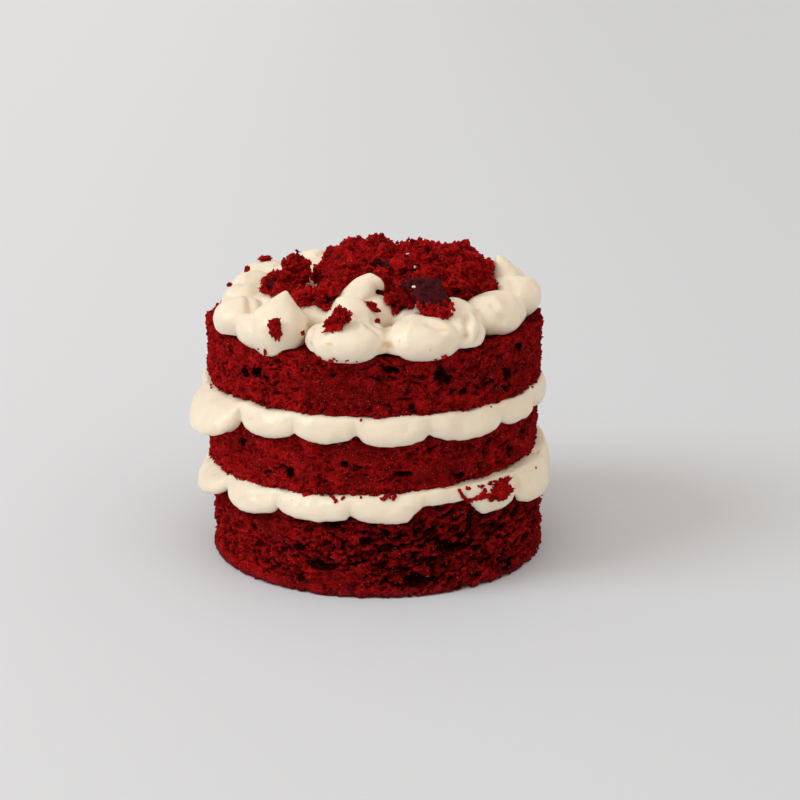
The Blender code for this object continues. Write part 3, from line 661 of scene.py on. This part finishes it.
# The rounds, in mm. A hole is (azimuth, height, half width, half height, depth) and a calm zone (azimuth,
# height, half width, half height), as the photograph shows them in front and in the same manner behind.
# Pits open where noise passes pit_start, times left_torn and right_torn at the sides. Past lean_start
# their strands lean. The top edge is torn bare_top far in from the wall.
SPONGES = (
    dict(
        name="sponge_bottom", radius=50, middle_x=0.9, low=0, high=25.2, slope=0, rim=2.2,
        seed=1, crag=0.85, pit_start=0.475, pit_depth=4.4, left_torn=0.42, right_torn=1, bare_top=1.5,
        baked=1, lean_start=8, lean=0.36, triangles=194000,
        holes=[
            (-77.3, 4.8, 3.6, 1.7, 5), (-109.5, 8.9, 4.1, 1.15, 4), (-65, 13.6, 3.9, 1.4, 4.4),
            (-57.7, 20.7, 1.1, 2.6, 3.6), (-94.3, 17.2, 1.8, 1.2, 2.8), (-117, 13.7, 2.1, 0.9, 2.6),
            (-137, 16, 1.1, 0.7, 2), (-117, 3.9, 1.4, 0.7, 2), (-74.1, 10.7, 3.2, 0.6, 2),
            (-68, 15.4, 2.1, 0.8, 2.4), (-87.8, 15.3, 1.8, 1, 2.2), (-55, 12.1, 1.6, 0.9, 2.4),
            (-29.1, 8.9, 2.2, 1.1, 2.6), (-39.7, 2.4, 2, 1, 2.4), (10, 12, 3, 1.2, 3),
            (40, 17, 1.4, 1.4, 2.6), (72, 8, 3.6, 1, 3), (100, 15, 2.4, 1.3, 2.6),
            (128, 6, 3, 1.2, 3), (158, 14, 1.6, 1.6, 2.8), (-170, 8, 2.6, 1, 2.6),
        ],
        calm=[(-106, 5, 8, 3), (-128, 18, 7, 4), (25, 8, 9, 4), (120, 17, 9, 4)],
    ),
    dict(
        name="sponge_middle", radius=49.6, middle_x=-0.6, low=30.5, high=47.9, slope=0.035, rim=0,
        seed=2, crag=0.62, pit_start=0.54, pit_depth=2.8, left_torn=0.8, right_torn=1.7, bare_top=1.5,
        baked=0, lean_start=10, lean=0.3, triangles=142000,
        holes=[
            (-118.5, 35.8, 1.35, 1.3, 3.4), (-99, 40, 1.2, 0.7, 1.8), (-80, 37, 2.2, 0.7, 2),
            (-36.8, 37.2, 1.3, 1.7, 2.8), (-27, 40.2, 1.4, 1.6, 2.8), (-47.5, 43, 1.2, 0.7, 2),
            (-60, 34.6, 1.6, 0.8, 2), (-140, 41, 1.6, 0.8, 2), (-21, 43, 1.3, 1, 2.4),
            (20, 40, 1.4, 1, 2.4), (80, 37, 2.6, 0.9, 2.4), (140, 41, 1.2, 1.2, 2.6),
        ],
        calm=[(-68, 36.4, 12, 4.2), (-92, 43, 9, 3), (60, 39, 12, 5), (165, 38, 9, 4)],
    ),
    dict(
        name="sponge_top", radius=50, middle_x=0, low=53.2, high=71.5, slope=0, rim=0,
        seed=3, crag=0.66, pit_start=0.53, pit_depth=3.2, left_torn=0.8, right_torn=1.5, bare_top=9,
        baked=0, lean_start=14, lean=0.36, triangles=158000,
        holes=[
            (-138.4, 62.4, 1.5, 1.15, 3.2), (-132.7, 63.3, 1.8, 1.45, 3.6), (-151.1, 61.5, 0.9, 1.1, 2.4),
            (-103.7, 65.7, 0.6, 0.6, 1.6), (-84.8, 67.5, 2, 0.95, 3), (-68.2, 65.2, 1.4, 2.3, 3.6),
            (-65.6, 63.6, 1, 1.4, 3), (-39.9, 60.9, 1.9, 1.7, 3.4), (-29, 62, 1.4, 1.1, 2.8),
            (-59.9, 59.5, 1.2, 1, 2.4), (-39.5, 57.1, 1.1, 1.2, 2.6), (-78, 56.5, 0.6, 0.9, 1.8),
            (-32.9, 67.9, 1.9, 1.6, 3), (5, 61, 1.6, 1, 2.6), (48, 64, 1.2, 1.4, 2.6),
            (88, 60, 2.4, 1, 2.6), (125, 65, 1.4, 1, 2.4), (170, 61, 1.2, 1.3, 2.6),
        ],
        calm=[(-98, 60.6, 20, 4.6), (30, 60, 12, 4.6), (110, 60, 12, 4.4)],
    ),
)
SPONGE_VOXEL = 0.38 * MM
# The fewest vertices of a closed bit of skin that is kept.
SPONGE_LEAST = 900.0
# How round a round's edges are, and how far out its raised rim is at its full height, in mm.
EDGE_ROUNDING = 1.2
RAISED_RIM_FULL = 49.0
# How much deeper a hole counts for the painted shade, in mm, and how far the baked underside counts as
# crust.
HOLE_SHADE_DEPTH = 2.3
BAKED_CRUST = 0.41
# How the solids are torn open, in mm. The last number is the fewest vertices of a bit that is kept.
HEAP_TEAR = dict(voxel=0.4, triangles=130000, crag=0.95, lump=3.2, least=300.0)
PIECE_TEAR = dict(voxel=0.26, triangles=15000, crag=0.7, lump=2.1, least=200.0)
HEAP_SEED = 4
TEAR_MELT = 0.7 * MM
TEAR_MARGIN = 1.6


def make_sponges(finish):
    """The three rounds of sponge."""
    for spec in SPONGES:
        piece = place_object("torn_" + spec["name"], bpy.data.meshes.new(spec["name"]))
        piece.modifiers.new("crumb", "NODES").node_group = sponge_tree(spec)
        settle_modifiers(piece)
        thin_out(piece, spec["triangles"])
        dress(piece, finish, "sponge", spec["name"])


def push_by_noise(piece, size, out, seed):
    """Move a skin in and out by noise whose lumps are about this size."""
    shift = Vector((seed * 3.1, seed * 7.7, seed * 1.3))
    places, normals = vertex_rows(piece, "co"), vertex_rows(piece, "normal")
    swell = np.array([noise.noise(Vector(place) / size + shift) for place in places.tolist()])
    places += normals * (out * swell)[:, None]
    piece.data.vertices.foreach_set("co", places.astype(np.float32).ravel())
    piece.data.update()


def outside(g, shape, place):
    """How far a place lies outside a solid, in mm, and below 0 inside it."""
    normal = g.add("GeometryNodeInputNormal").outputs[0]
    nearest = g.add("GeometryNodeProximity", {0: shape}, target_element="FACES").outputs
    facing = g.add("GeometryNodeSampleNearestSurface", {"Mesh": shape}, data_type="FLOAT_VECTOR")
    g.plug([socket for socket in facing.inputs if socket.name == "Value" and socket.enabled][0], normal)
    outward = [socket for socket in facing.outputs if socket.enabled][0]
    away = g.arrow("SUBTRACT", place, nearest["Position"])[0]
    side = g.arrow("DOT_PRODUCT", away, outward)["Value"]
    distance = g.times(nearest["Distance"], g.calc("SIGN", side))
    return g.times(distance, 1.0 / MM)


def tear_tree(piece, patches, seed, spec):
    """Nodes that tear a solid open into crumb: a field of its distance, roughened, and skinned again."""
    tree, g = shape_tree("tear_" + piece.name, "INPUT", "OUTPUT")
    place = g.add("GeometryNodeInputPosition").outputs[0]
    distance = outside(g, g.add("NodeGroupInput").outputs[0], place)
    place = g.scaled(place, 1.0 / MM)
    balls = [inside_ball(g, place, centre, half) for centre, half in patches]
    spot = g.shift(place, [seed * step for step in SEED_SHIFT])
    ragged = g.cut(spot, PATCH_CUT)
    crust = g.ramp(g.plus(highest(g, balls, -1.0), ragged), 0.0, 0.2)
    torn = g.cut(spot, (spec["lump"], *TORN_CUT), spec["crag"])
    fine = g.cut(spot, FINE_CUT, spec["crag"])
    rough = g.faded(g.plus(torn, fine), crust, CRUST_FADE)
    voxel = spec["voxel"]
    density = g.ramp(g.plus(distance, rough), -2.0 * voxel, 2.0 * voxel, 1.0, 0.0, "LINEAR")
    corners = vertex_rows(piece, "co") / MM
    low = (corners.min(axis=0) - TEAR_MARGIN).tolist()
    high = (corners.max(axis=0) + TEAR_MARGIN).tolist()
    whole = skin_of(g, density, low, high, voxel, spec["least"])
    # hollow grows inside the solid; the red finishes paint shade by it.
    whole = store(g, whole, "hollow", g.ramp(distance, -1.5, 0.5, PORE_SHADE_DEPTH, 0.0, "LINEAR"))
    whole = store(g, whole, "crust", crust)
    g.add("NodeGroupOutput", {"Geometry": whole})
    return tree


def tear_open(name, seed, spec):
    """Make a piece of torn crumb from the solid of that name."""
    piece = place_object("torn_" + name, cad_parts[name].data.copy())
    piece.data.materials.clear()
    blend_shapes(piece, TEAR_MELT, 1)
    tree = tear_tree(piece, CRUST_PATCHES.get(name, []), seed, spec)
    piece.modifiers.new("tear", "NODES").node_group = tree
    settle_modifiers(piece)
    thin_out(piece, spec["triangles"])
    return piece


def make_crumble(finish):
    """The heap and the larger torn pieces."""
    heap = tear_open("crumble_heap", HEAP_SEED, HEAP_TEAR)
    made = [dress(heap, finish, "crumble", "crumble_heap")]
    for seed, name in enumerate(TORN_PIECES, HEAP_SEED + 1):
        piece = tear_open(name, seed, PIECE_TEAR)
        made.append(dress(piece, finish, "crust" if name == "crumb_crusted" else "crumble", name))
    return made


# ---------------- loose crumbs

def add_crumb(bm, place, half, turn, seed, fineness=2):
    """Add one torn crumb: a blocky ball made uneven by coarse noise. All sizes are in mm."""
    shift = Vector((seed * 7.31, seed * 3.17, seed * 5.71))
    for vert in bmesh.ops.create_icosphere(bm, subdivisions=fineness, radius=1.0)["verts"]:
        spot = vert.co.copy()
        swell = 1.0 + 0.5 * noise.noise(spot * 1.4 + shift) + 0.55 * noise.noise(spot * 3.1 - shift)
        swell += 0.45 * noise.noise(spot * 7.0 + shift) if fineness > 2 else 0.0
        blocky = [math.copysign(abs(part) ** 0.85, part) for part in spot]
        vert.co = (Vector(place) + turn @ Vector([b * h * swell for b, h in zip(blocky, half)])) * MM


def skin_tree(pieces):
    """A search tree over the triangles of some pieces."""
    places, faces = [], []
    for piece in pieces:
        start = len(places)
        places += [tuple(row) for row in vertex_rows(piece, "co").tolist()]
        faces += [tuple(start + corner for corner in face.vertices) for face in piece.data.polygons]
    return BVHTree.FromPolygons(places, faces)


def random_turn(draw):
    """A turn any way round."""
    return Euler([draw.uniform(0.0, math.tau) for _ in range(3)]).to_matrix()


def add_named_crumbs(bm):
    """Add the crumbs whose places are known."""
    for index, (place, half, about_z) in enumerate(SINGLE_CRUMBS + SMEAR_LUMPS):
        turn = Matrix.Rotation(math.radians(about_z), 3, "Z")
        add_crumb(bm, place, half, turn, index, 4 if max(half) > LARGE_CRUMB else 3)


def add_fringe(bm, draw, skin):
    """Drop a fringe of crumbs round the heap."""
    for index in range(FRINGE_CRUMBS):
        angle, share = draw.uniform(0.0, math.tau), draw.uniform(0.35, 1.0) ** 0.5
        start = Vector((
            FRINGE_MIDDLE[0] + FRINGE_HALF[0] * share * math.cos(angle),
            FRINGE_MIDDLE[1] + FRINGE_HALF[1] * share * math.sin(angle),
            DROP_HEIGHT,
        ))
        found = skin.ray_cast(start * MM, Vector((0.0, 0.0, -1.0)))[0]
        size = 0.35 + 0.75 * draw.random() ** 2.2
        if found:
            half = (size * draw.uniform(0.9, 1.5), size, size * draw.uniform(0.7, 1.0))
            place = found / MM + Vector((0.0, 0.0, size * 0.35))
            add_crumb(bm, place, half, random_turn(draw), FRINGE_SEED + index)


def add_streaks(bm, draw, skin):
    """Lay thin streaks of crumb where the camera sees their lines on the fillings."""
    eye = Vector(CAMERA_PLACE)
    for line, size in SMEAR_STREAKS:
        for start, end in zip(line, line[1:]):
            steps = max(1, round((Vector(end) - Vector(start)).length / (0.8 * size)))
            for step in range(steps):
                aim = (Vector(start).lerp(Vector(end), step / steps)) * MM - eye
                found = skin.ray_cast(eye, aim)[0]
                if found:
                    half = [size * draw.uniform(0.7, 1.3) for _ in range(3)]
                    add_crumb(bm, found / MM, half, random_turn(draw), STREAK_SEED + step)


def add_smears(bm, draw, skin):
    """Stick small crumbs to stretches of the cream, from the side."""
    for (first, last), (low, high), count in SMEARED_STRETCHES:
        for index in range(count):
            azimuth, height = draw.uniform(first, last), draw.uniform(low, high)
            start = around(azimuth, RAY_START, height)
            found = skin.ray_cast(start * MM, around(azimuth, -1.0))[0]
            size = 0.26 + 0.5 * draw.random() ** 2.0
            if found:
                half = (size * draw.uniform(1.0, 1.9), size, size * draw.uniform(0.6, 1.0))
                place = found / MM + around(azimuth, size * 0.3)
                add_crumb(bm, place, half, random_turn(draw), SMEAR_SEED + index)


def make_loose_crumbs(finish, carriers, fillings):
    """Single crumbs on the frosting, a fringe round the heap, and crumb smeared over the fillings."""
    draw = random.Random(7)
    top, sides = skin_tree(carriers), skin_tree(fillings + carriers[:1])
    bm = bmesh.new()
    add_named_crumbs(bm)
    add_fringe(bm, draw, top)
    add_streaks(bm, draw, sides)
    add_smears(bm, draw, sides)
    dress(object_from(bm, "loose_crumbs"), finish, "crumble")


def make_specks(finish, carriers):
    """A few white specks of sugar on the crumbs."""
    skin = skin_tree(carriers)
    bm = bmesh.new()
    eye = Vector(CAMERA_PLACE)
    for index, place in enumerate(WHITE_SPECKS):
        found = skin.ray_cast(eye, Vector(place) * MM - eye)[0]
        if found:
            turn = Matrix.Rotation(index, 3, "Z")
            add_crumb(bm, found / MM, SPECK_HALVES[index % 2], turn, SPECK_SEED + index)
    dress(object_from(bm, "sugar_specks"), finish, "crumble")


# ---------------- frosting

def add_ball(bm, azimuth, place, half):
    """Add a squashed ball, its first half size along the rim."""
    turn = Matrix.Rotation(math.radians(azimuth + 90.0), 4, "Z")
    size = Matrix.Diagonal((*half, 1.0))
    matrix = Matrix.Translation(place) @ turn @ size
    bmesh.ops.create_icosphere(bm, subdivisions=5, radius=1.0, matrix=matrix)


def add_peak(bm, foot, bow, tip, foot_radius, tip_radius):
    """Add a pulled peak: a bowed run of balls that shrink towards the tip."""
    for step in range(PEAK_BALLS + 1):
        share = step / PEAK_BALLS
        place = foot.lerp(tip, share) + bow * math.sin(math.pi * share)
        radius = foot_radius + (tip_radius - foot_radius) * share
        bmesh.ops.create_icosphere(bm, subdivisions=4, radius=radius, matrix=Matrix.Translation(place))


def press_folds(piece, folds):
    """Press soft folds into a skin along bent lines, and raise ridges where the depth is below 0."""
    places, normals = vertex_rows(piece, "co") / MM, vertex_rows(piece, "normal")
    moved = np.zeros(len(places))
    for line, width, depth in folds:
        near = np.full(len(places), 100.0)
        for start, end in zip(line, line[1:]):
            start, along = np.array(start), np.array(end) - np.array(start)
            share = np.clip((places - start) @ along / (along @ along), 0.0, 1.0)
            gap = places - start - share[:, None] * along
            near = np.minimum(near, np.sqrt((gap * gap).sum(axis=1)))
        moved -= depth * np.exp(-((near / width) ** 2))
    places += normals * moved[:, None]
    piece.data.vertices.foreach_set("co", (places * MM).astype(np.float32).ravel())
    piece.data.update()


def fold_line(dollop, first, bend):
    """A bent line that runs down a dollop from its top."""
    azimuth, out, height, *half = dollop
    line = []
    for rise, share in FOLD_PATH:
        heading, lift = math.radians(first + bend * share), math.radians(rise)
        level = math.cos(lift)
        local = Vector((math.sin(heading) * level, math.cos(heading) * level, math.sin(lift)))
        along, outward, up = [part * size for part, size in zip(local, half)]
        line.append(around(azimuth, out + outward, height + up) + around(azimuth + 90.0, along))
    return line


def dollop_folds():
    """Soft folds that run down each dollop from its top, fewer where the photograph shows the dollop."""
    draw = random.Random(3)
    folds = []
    for dollop in RIM_DOLLOPS + INNER_DOLLOPS:
        seen = SEEN_FROM < dollop[0] < SEEN_TO
        for _ in range(SEEN_FOLDS if seen else HIDDEN_FOLDS):
            line = fold_line(dollop, draw.uniform(-65.0, 65.0), draw.uniform(-40.0, 40.0))
            depth = draw.uniform(0.3, 0.6) if seen else draw.uniform(0.4, 0.9)
            folds.append((line, draw.uniform(0.9, 1.5), depth if draw.random() < 0.7 else -0.6 * depth))
    return folds


def make_top_frosting(finish):
    """The crown of dollops, cut flat where it lies on the top sponge."""
    bm = bmesh.new()
    middle, half_width, half_height = CROWN_BASE
    add_ball(bm, 0.0, Vector((0.0, 0.0, middle)), (half_width, half_width, half_height))
    for azimuth, out, height, *half in RIM_DOLLOPS + INNER_DOLLOPS:
        add_ball(bm, azimuth, around(azimuth, out * MM, height * MM), Vector(half) * MM)
    for foot, bow, tip, foot_radius, tip_radius in PEAKS:
        places = [Vector(place) * MM for place in (foot, bow, tip)]
        add_peak(bm, *places, foot_radius * MM, tip_radius * MM)
    crown = object_from(bm, "top_frosting")
    blend_shapes(crown, FROSTING_VOXEL, CROWN_SOFTENING)
    press_folds(crown, CROWN_FOLDS + dollop_folds())
    floor = TOP_SPONGE_TOP + GAP
    for vert in crown.data.vertices:
        place = vert.co
        out = math.hypot(place.x, place.y)
        if place.z < floor and out < CAKE_RADIUS + 1.5 * GAP:
            place.z = floor
    for size, reach, seed in CROWN_SWELLS:
        push_by_noise(crown, size * MM, reach * MM, seed)
    thin_out(crown, FROSTING_TRIANGLES)
    mark_creases(crown)
    return dress(crown, finish, "frosting", "frosting_top")


def close_rings(bm, rings):
    """Skin a stack of equal rings and close both ends with a flat face."""
    for lower, upper in zip(rings, rings[1:]):
        count = len(lower)
        for step in range(count):
            after = (step + 1) % count
            bm.faces.new((lower[step], lower[after], upper[after], upper[step]))
    bm.faces.new(reversed(rings[0]))
    bm.faces.new(rings[-1])


def raised_rim(azimuth):
    """How far the bottom sponge's rim stands up here, with some leeway either way."""
    away = max(0.0, abs(azimuth - RAISED_RIM_AZIMUTH) - RAISED_RIM_LEEWAY)
    return RAISED_RIM_HEIGHT * max(0.0, 1.0 - (away / RAISED_RIM_HALF_WIDTH) ** 2)


def blob_samples(blobs):
    """Azimuths with their reach and hang in mm: each blob is a round lobe between two creases."""
    samples = []
    for azimuth, half_width, reach, hang in blobs:
        for step in range(BLOB_STEPS):
            side = -math.cos(math.pi * step / BLOB_STEPS)
            swell = math.sqrt(max(0.0, 1.0 - side * side))
            samples.append((
                azimuth + half_width * side,
                CREASE_REACH + (reach - CREASE_REACH) * swell ** REACH_POWER,
                CREASE_HANG + (hang - CREASE_HANG) * swell ** HANG_POWER,
            ))
    return samples


def blob_outline(wall, top, bottom, reach):
    """A blob's outline from its underside up to its top, as (distance out, height)."""
    middle = (top + bottom) / 2
    start = -math.acos(FILLING_ROOT / (FILLING_ROOT + reach * MM))
    outline = []
    for step in range(BLOB_CURVE_STEPS + 1):
        angle = start + (math.pi / 2 - start) * step / BLOB_CURVE_STEPS
        out = wall - FILLING_ROOT + (FILLING_ROOT + reach * MM) * math.cos(angle)
        rise = middle + (top - middle) * math.sin(angle) / max(abs(math.sin(start)), LEAST_SINE)
        droop = FILLING_DROOP * (max(0.0, out - wall) / MM) ** DROOP_POWER * MM
        outline.append((out, max(bottom, min(top, rise - droop))))
    return outline


def make_filling(name, node, low, high, blobs, finish, below_x, slope=0.0, rim=False, folds=()):
    """A layer of frosting whose blobs swell out between two sponges and hang over the lower one."""
    wall = CAKE_RADIUS + GAP
    bm = bmesh.new()
    rings = [[] for _ in range(BLOB_CURVE_STEPS + 4)]
    for azimuth, reach, hang in blob_samples(blobs):
        lift = raised_rim(azimuth) if rim else 0.0
        top = high + FILLING_TUCK + slope * around(azimuth, wall).x
        bottom = low - hang * MM + lift
        underside = [(RAISED_RIM_START, low), (RAISED_RIM_CREST, low + lift), (wall, low + lift)]
        for ring, (out, height) in zip(rings, underside + blob_outline(wall, top, bottom, reach)):
            ring.append(bm.verts.new(around(azimuth, out, height) + Vector((below_x, 0.0, 0.0))))
    close_rings(bm, rings)
    filling = object_from(bm, name)
    blend_shapes(filling, FILLING_VOXEL, 1)
    press_folds(filling, folds)
    for size, reach, seed in FILLING_SWELLS:
        push_by_noise(filling, size * MM, reach * MM, seed)
    thin_out(filling, FILLING_TRIANGLES)
    mark_creases(filling)
    return dress(filling, finish, "frosting", node)


# ---------------- finishes

def crumb_grain_group():
    """Grain shared by every red finish: tone, wet glints of roughness, pale painted sparkles of light and
    fine height.
    """
    tree = bpy.data.node_groups.new("crumb_grain", "ShaderNodeTree")
    tree.interface.new_socket("Size", in_out="INPUT", socket_type="NodeSocketFloat")
    for name in ("Tone", "Glint", "PaintedSparkle", "Height"):
        tree.interface.new_socket(name, in_out="OUTPUT", socket_type="NodeSocketFloat")
    g = Graph(tree)
    size = g.add("NodeGroupInput").outputs["Size"]
    place = g.add("ShaderNodeTexCoord").outputs["Object"]
    spot = g.scaled(place, g.calc("DIVIDE", 1.0, size))
    cloudy = g.noise(spot, 6.0, 3.0, 0.6)
    grain = g.noise(spot, 1.0, 4.0, 0.65, 0.5)
    tone = g.plus(g.times(cloudy, 0.5), g.times(grain, 0.5))
    glint = g.ramp(g.noise(g.shift(spot, (5.0, 3.0, 9.0)), 0.7, 1.0), 0.66, 0.74)
    # Painted sparkles: pale spots that stand in for glints of light.
    painted_sparkle = g.ramp(g.noise(g.shift(spot, (17.0, 1.0, 4.0)), 0.5, 1.0), 0.718, 0.775, 0.0, 0.85)
    values = {"Tone": g.ramp(tone, 0.38, 0.62), "Glint": glint, "PaintedSparkle": painted_sparkle, "Height": grain}
    out = g.add("NodeGroupOutput", values)
    out.is_active_output = True
    return tree


def new_finish(name):
    """A new material with its nodes and its shader."""
    material = bpy.data.materials.new(name)
    material.use_nodes = True
    return material, Graph(material.node_tree), material.node_tree.nodes["Principled BSDF"]


def crumb_finish(name, grain, reds_and_shade, size):
    """A matt red crumb, full red on its tips and darkened by painted shade into its pores, with pale
    painted glints and purple-brown baked skin.
    """
    material, g, shader = new_finish(name)
    look = g.add("ShaderNodeGroup")
    look.node_tree = grain
    look.inputs["Size"].default_value = size
    tone, hollow = look.outputs["Tone"], g.stored("hollow")
    share = g.plus(g.times(tone, 0.75), 0.25)
    # Painted shade: the crumb darkens from its tips to near black deep in its pores and holes.
    share = g.times(share, g.ramp(hollow, PORE_SHADE_DEPTH, TIP_DEPTH, 0.0, 1.0))
    # Calm zones are darker in their own tone, and painted shade darkens the sponge towards its right side.
    share = g.times(share, g.ramp(g.stored("calm"), 0.0, 1.0, 1.0, 0.5))
    skin = g.times(g.ramp(g.stored("crust"), 0.2, 0.6), g.ramp(hollow, 2.9, 2.3))
    # Pale pink painted onto tiny spots as glints of light.
    red = g.mix(look.outputs["PaintedSparkle"], g.mix(share, *reds_and_shade), PAINTED_GLINT_PINK)
    g.plug(shader.inputs["Base Color"], g.mix(skin, red, g.mix(tone, *SKIN_BROWNS)))
    matt = g.ramp(look.outputs["Glint"], 0.0, 1.0, *CRUMB_ROUGHNESS, "LINEAR")
    g.plug(shader.inputs["Roughness"], g.ramp(skin, 0.0, 1.0, matt, SKIN_ROUGHNESS, "LINEAR"))
    shader.inputs["Specular IOR Level"].default_value = 0.022
    height = g.times(look.outputs["Height"], g.ramp(skin, 0.0, 1.0, 1.0, 0.6))
    bump = g.add("ShaderNodeBump", {"Height": height, "Strength": 1.0, "Distance": 0.65 * MM})
    g.plug(shader.inputs["Normal"], bump.outputs[0])
    return material


def frosting_finish():
    """Soft ivory cream with a faint wet gloss, painted warm shade in its creases, yellow spots with one
    spot of painted yellowish shade, and air pits.
    """
    material, g, shader = new_finish("cream_frosting")
    spot = g.scaled(g.add("ShaderNodeTexCoord").outputs["Object"], 1.0 / MM)
    cloudy = g.ramp(g.noise(spot, 7.0, 3.0, 0.5), 0.35, 0.65)
    yellow_and_shade = g.ramp(g.noise(g.shift(spot, (40.0, 7.0, 3.0)), 2.6, 2.0, 0.5), 0.69, 0.76)
    # The listed spots add to the yellow; the last of them is painted yellowish shade under the crusted
    # piece.
    balls = [inside_ball(g, spot, centre, half) for centre, half in YELLOW_SPOTS_AND_SHADE]
    yellow_and_shade = highest(g, [g.ramp(ball, 0.0, 0.6, 0.0, 0.8) for ball in balls], yellow_and_shade)
    # Painted warm shade in the creases of the cream.
    crease_shade = g.ramp(g.stored("crease_shade"), *CREASE_SHADE_TINT)
    ivory_and_crease_shade = g.mix(crease_shade, g.mix(cloudy, *CREAM_IVORIES), CREASE_SHADE_CREAM)
    g.plug(shader.inputs["Base Color"], g.mix(yellow_and_shade, ivory_and_crease_shade, SPOT_AND_SHADE_YELLOW))
    g.plug(shader.inputs["Roughness"], g.ramp(cloudy, 0.0, 1.0, *CREAM_ROUGHNESS, "LINEAR"))
    shader.inputs["Subsurface Weight"].default_value = 0.5
    shader.inputs["Subsurface Radius"].default_value = (1.0, 0.6, 0.3)
    shader.inputs["Subsurface Scale"].default_value = 2.4 * MM
    shader.inputs["Specular IOR Level"].default_value = 0.44
    cells = g.add("ShaderNodeTexVoronoi", {"Vector": spot, "Scale": 0.3, "Randomness": 1.0})
    pit = g.ramp(cells.outputs["Distance"], 0.06, 0.13, 0.0, 0.5)
    height = g.plus(g.noise(spot, 1.3, 3.0, 0.55), pit)
    bump = g.add("ShaderNodeBump", {"Height": height, "Strength": 0.5, "Distance": 0.16 * MM})
    g.plug(shader.inputs["Normal"], bump.outputs[0])
    return material


def sugar_finish():
    """White sugar."""
    material, g, shader = new_finish("white_sugar")
    tone = g.noise(g.add("ShaderNodeTexCoord").outputs["Object"], 0.4 * MM, 2.0)
    g.plug(shader.inputs["Base Color"], g.mix(tone, *SUGAR_WHITES))
    shader.inputs["Roughness"].default_value = 0.4
    return material


# ---------------- studio

def make_floor():
    """A pale floor, lit at its left and darker at its right with painted shade."""
    bm = bmesh.new()
    bmesh.ops.create_circle(bm, cap_ends=True, segments=96, radius=FLOOR_RADIUS)
    floor = object_from(bm, "floor")
    material, g, shader = new_finish("pale_floor")
    across = g.parts(g.add("ShaderNodeTexCoord").outputs["Object"])["X"]
    # Painted shade: the floor darkens from left to right.
    tone = g.ramp(across, -FLOOR_SHADE_FADE, FLOOR_SHADE_FADE)
    g.plug(shader.inputs["Base Color"], g.mix(tone, FLOOR_LIT_LEFT, FLOOR_SHADED_RIGHT))
    shader.inputs["Roughness"].default_value = 0.7
    shader.inputs["Specular IOR Level"].default_value = 0.2
    floor.data.materials.append(material)


def add_sun(name, azimuth, lift, strength, angle, colour):
    """A soft distant light from an azimuth and a height, in degrees."""
    data = bpy.data.lights.new(name, "SUN")
    data.energy = strength
    data.angle = math.radians(angle)
    data.color = colour
    towards = around(azimuth, math.cos(math.radians(lift)), math.sin(math.radians(lift)))
    place_object(name, data).rotation_euler = towards.to_track_quat("Z", "Y").to_euler()


def set_studio():
    """Camera, soft lights and an even surround."""
    data = bpy.data.cameras.new("photo_camera")
    data.lens = CAMERA_LENS
    data.sensor_width = SENSOR_WIDTH
    camera = place_object("photo_camera", data)
    camera.location = CAMERA_PLACE
    camera.rotation_euler = (math.radians(90.0 - CAMERA_DIP), 0.0, math.radians(CAMERA_TURN))
    bpy.context.scene.camera = camera
    for sun in SUNS:
        add_sun(*sun)
    world = bpy.data.worlds.new("surround")
    bpy.context.scene.world = world
    world.use_nodes = True
    background = world.node_tree.nodes["Background"]
    background.inputs["Color"].default_value = SURROUND_COLOUR
    background.inputs["Strength"].default_value = SURROUND_STRENGTH
    bpy.context.scene.view_settings.view_transform = "Standard"


def main():
    """Build the cake's looks."""
    set_studio()
    make_floor()
    grain = crumb_grain_group()
    sponge = crumb_finish("red_sponge", grain, SPONGE_REDS_AND_SHADE, SPONGE_GRAIN)
    crumble = crumb_finish("red_crumble", grain, CRUMBLE_REDS_AND_SHADE, CRUMBLE_GRAIN)
    cream = frosting_finish()
    make_sponges(sponge)
    crumbs = make_crumble(crumble)
    crown = make_top_frosting(cream)
    low, high = BOTTOM_SPONGE_TOP + GAP, LOWER_FILLING_TOP
    shape = dict(below_x=BOTTOM_MIDDLE_X, slope=MIDDLE_UNDERSIDE_SLOPE, rim=True, folds=LOWER_FOLDS)
    lower = make_filling("lower_filling", "filling_lower", low, high, LOWER_BLOBS, cream, **shape)
    low, high = MIDDLE_SPONGE_TOP + GAP, UPPER_FILLING_TOP
    shape = dict(below_x=MIDDLE_MIDDLE_X)
    upper = make_filling("upper_filling", "filling_upper", low, high, UPPER_BLOBS, cream, **shape)
    make_loose_crumbs(crumble, [crown] + crumbs, [lower, upper])
    make_specks(sugar_finish(), crumbs)


main()
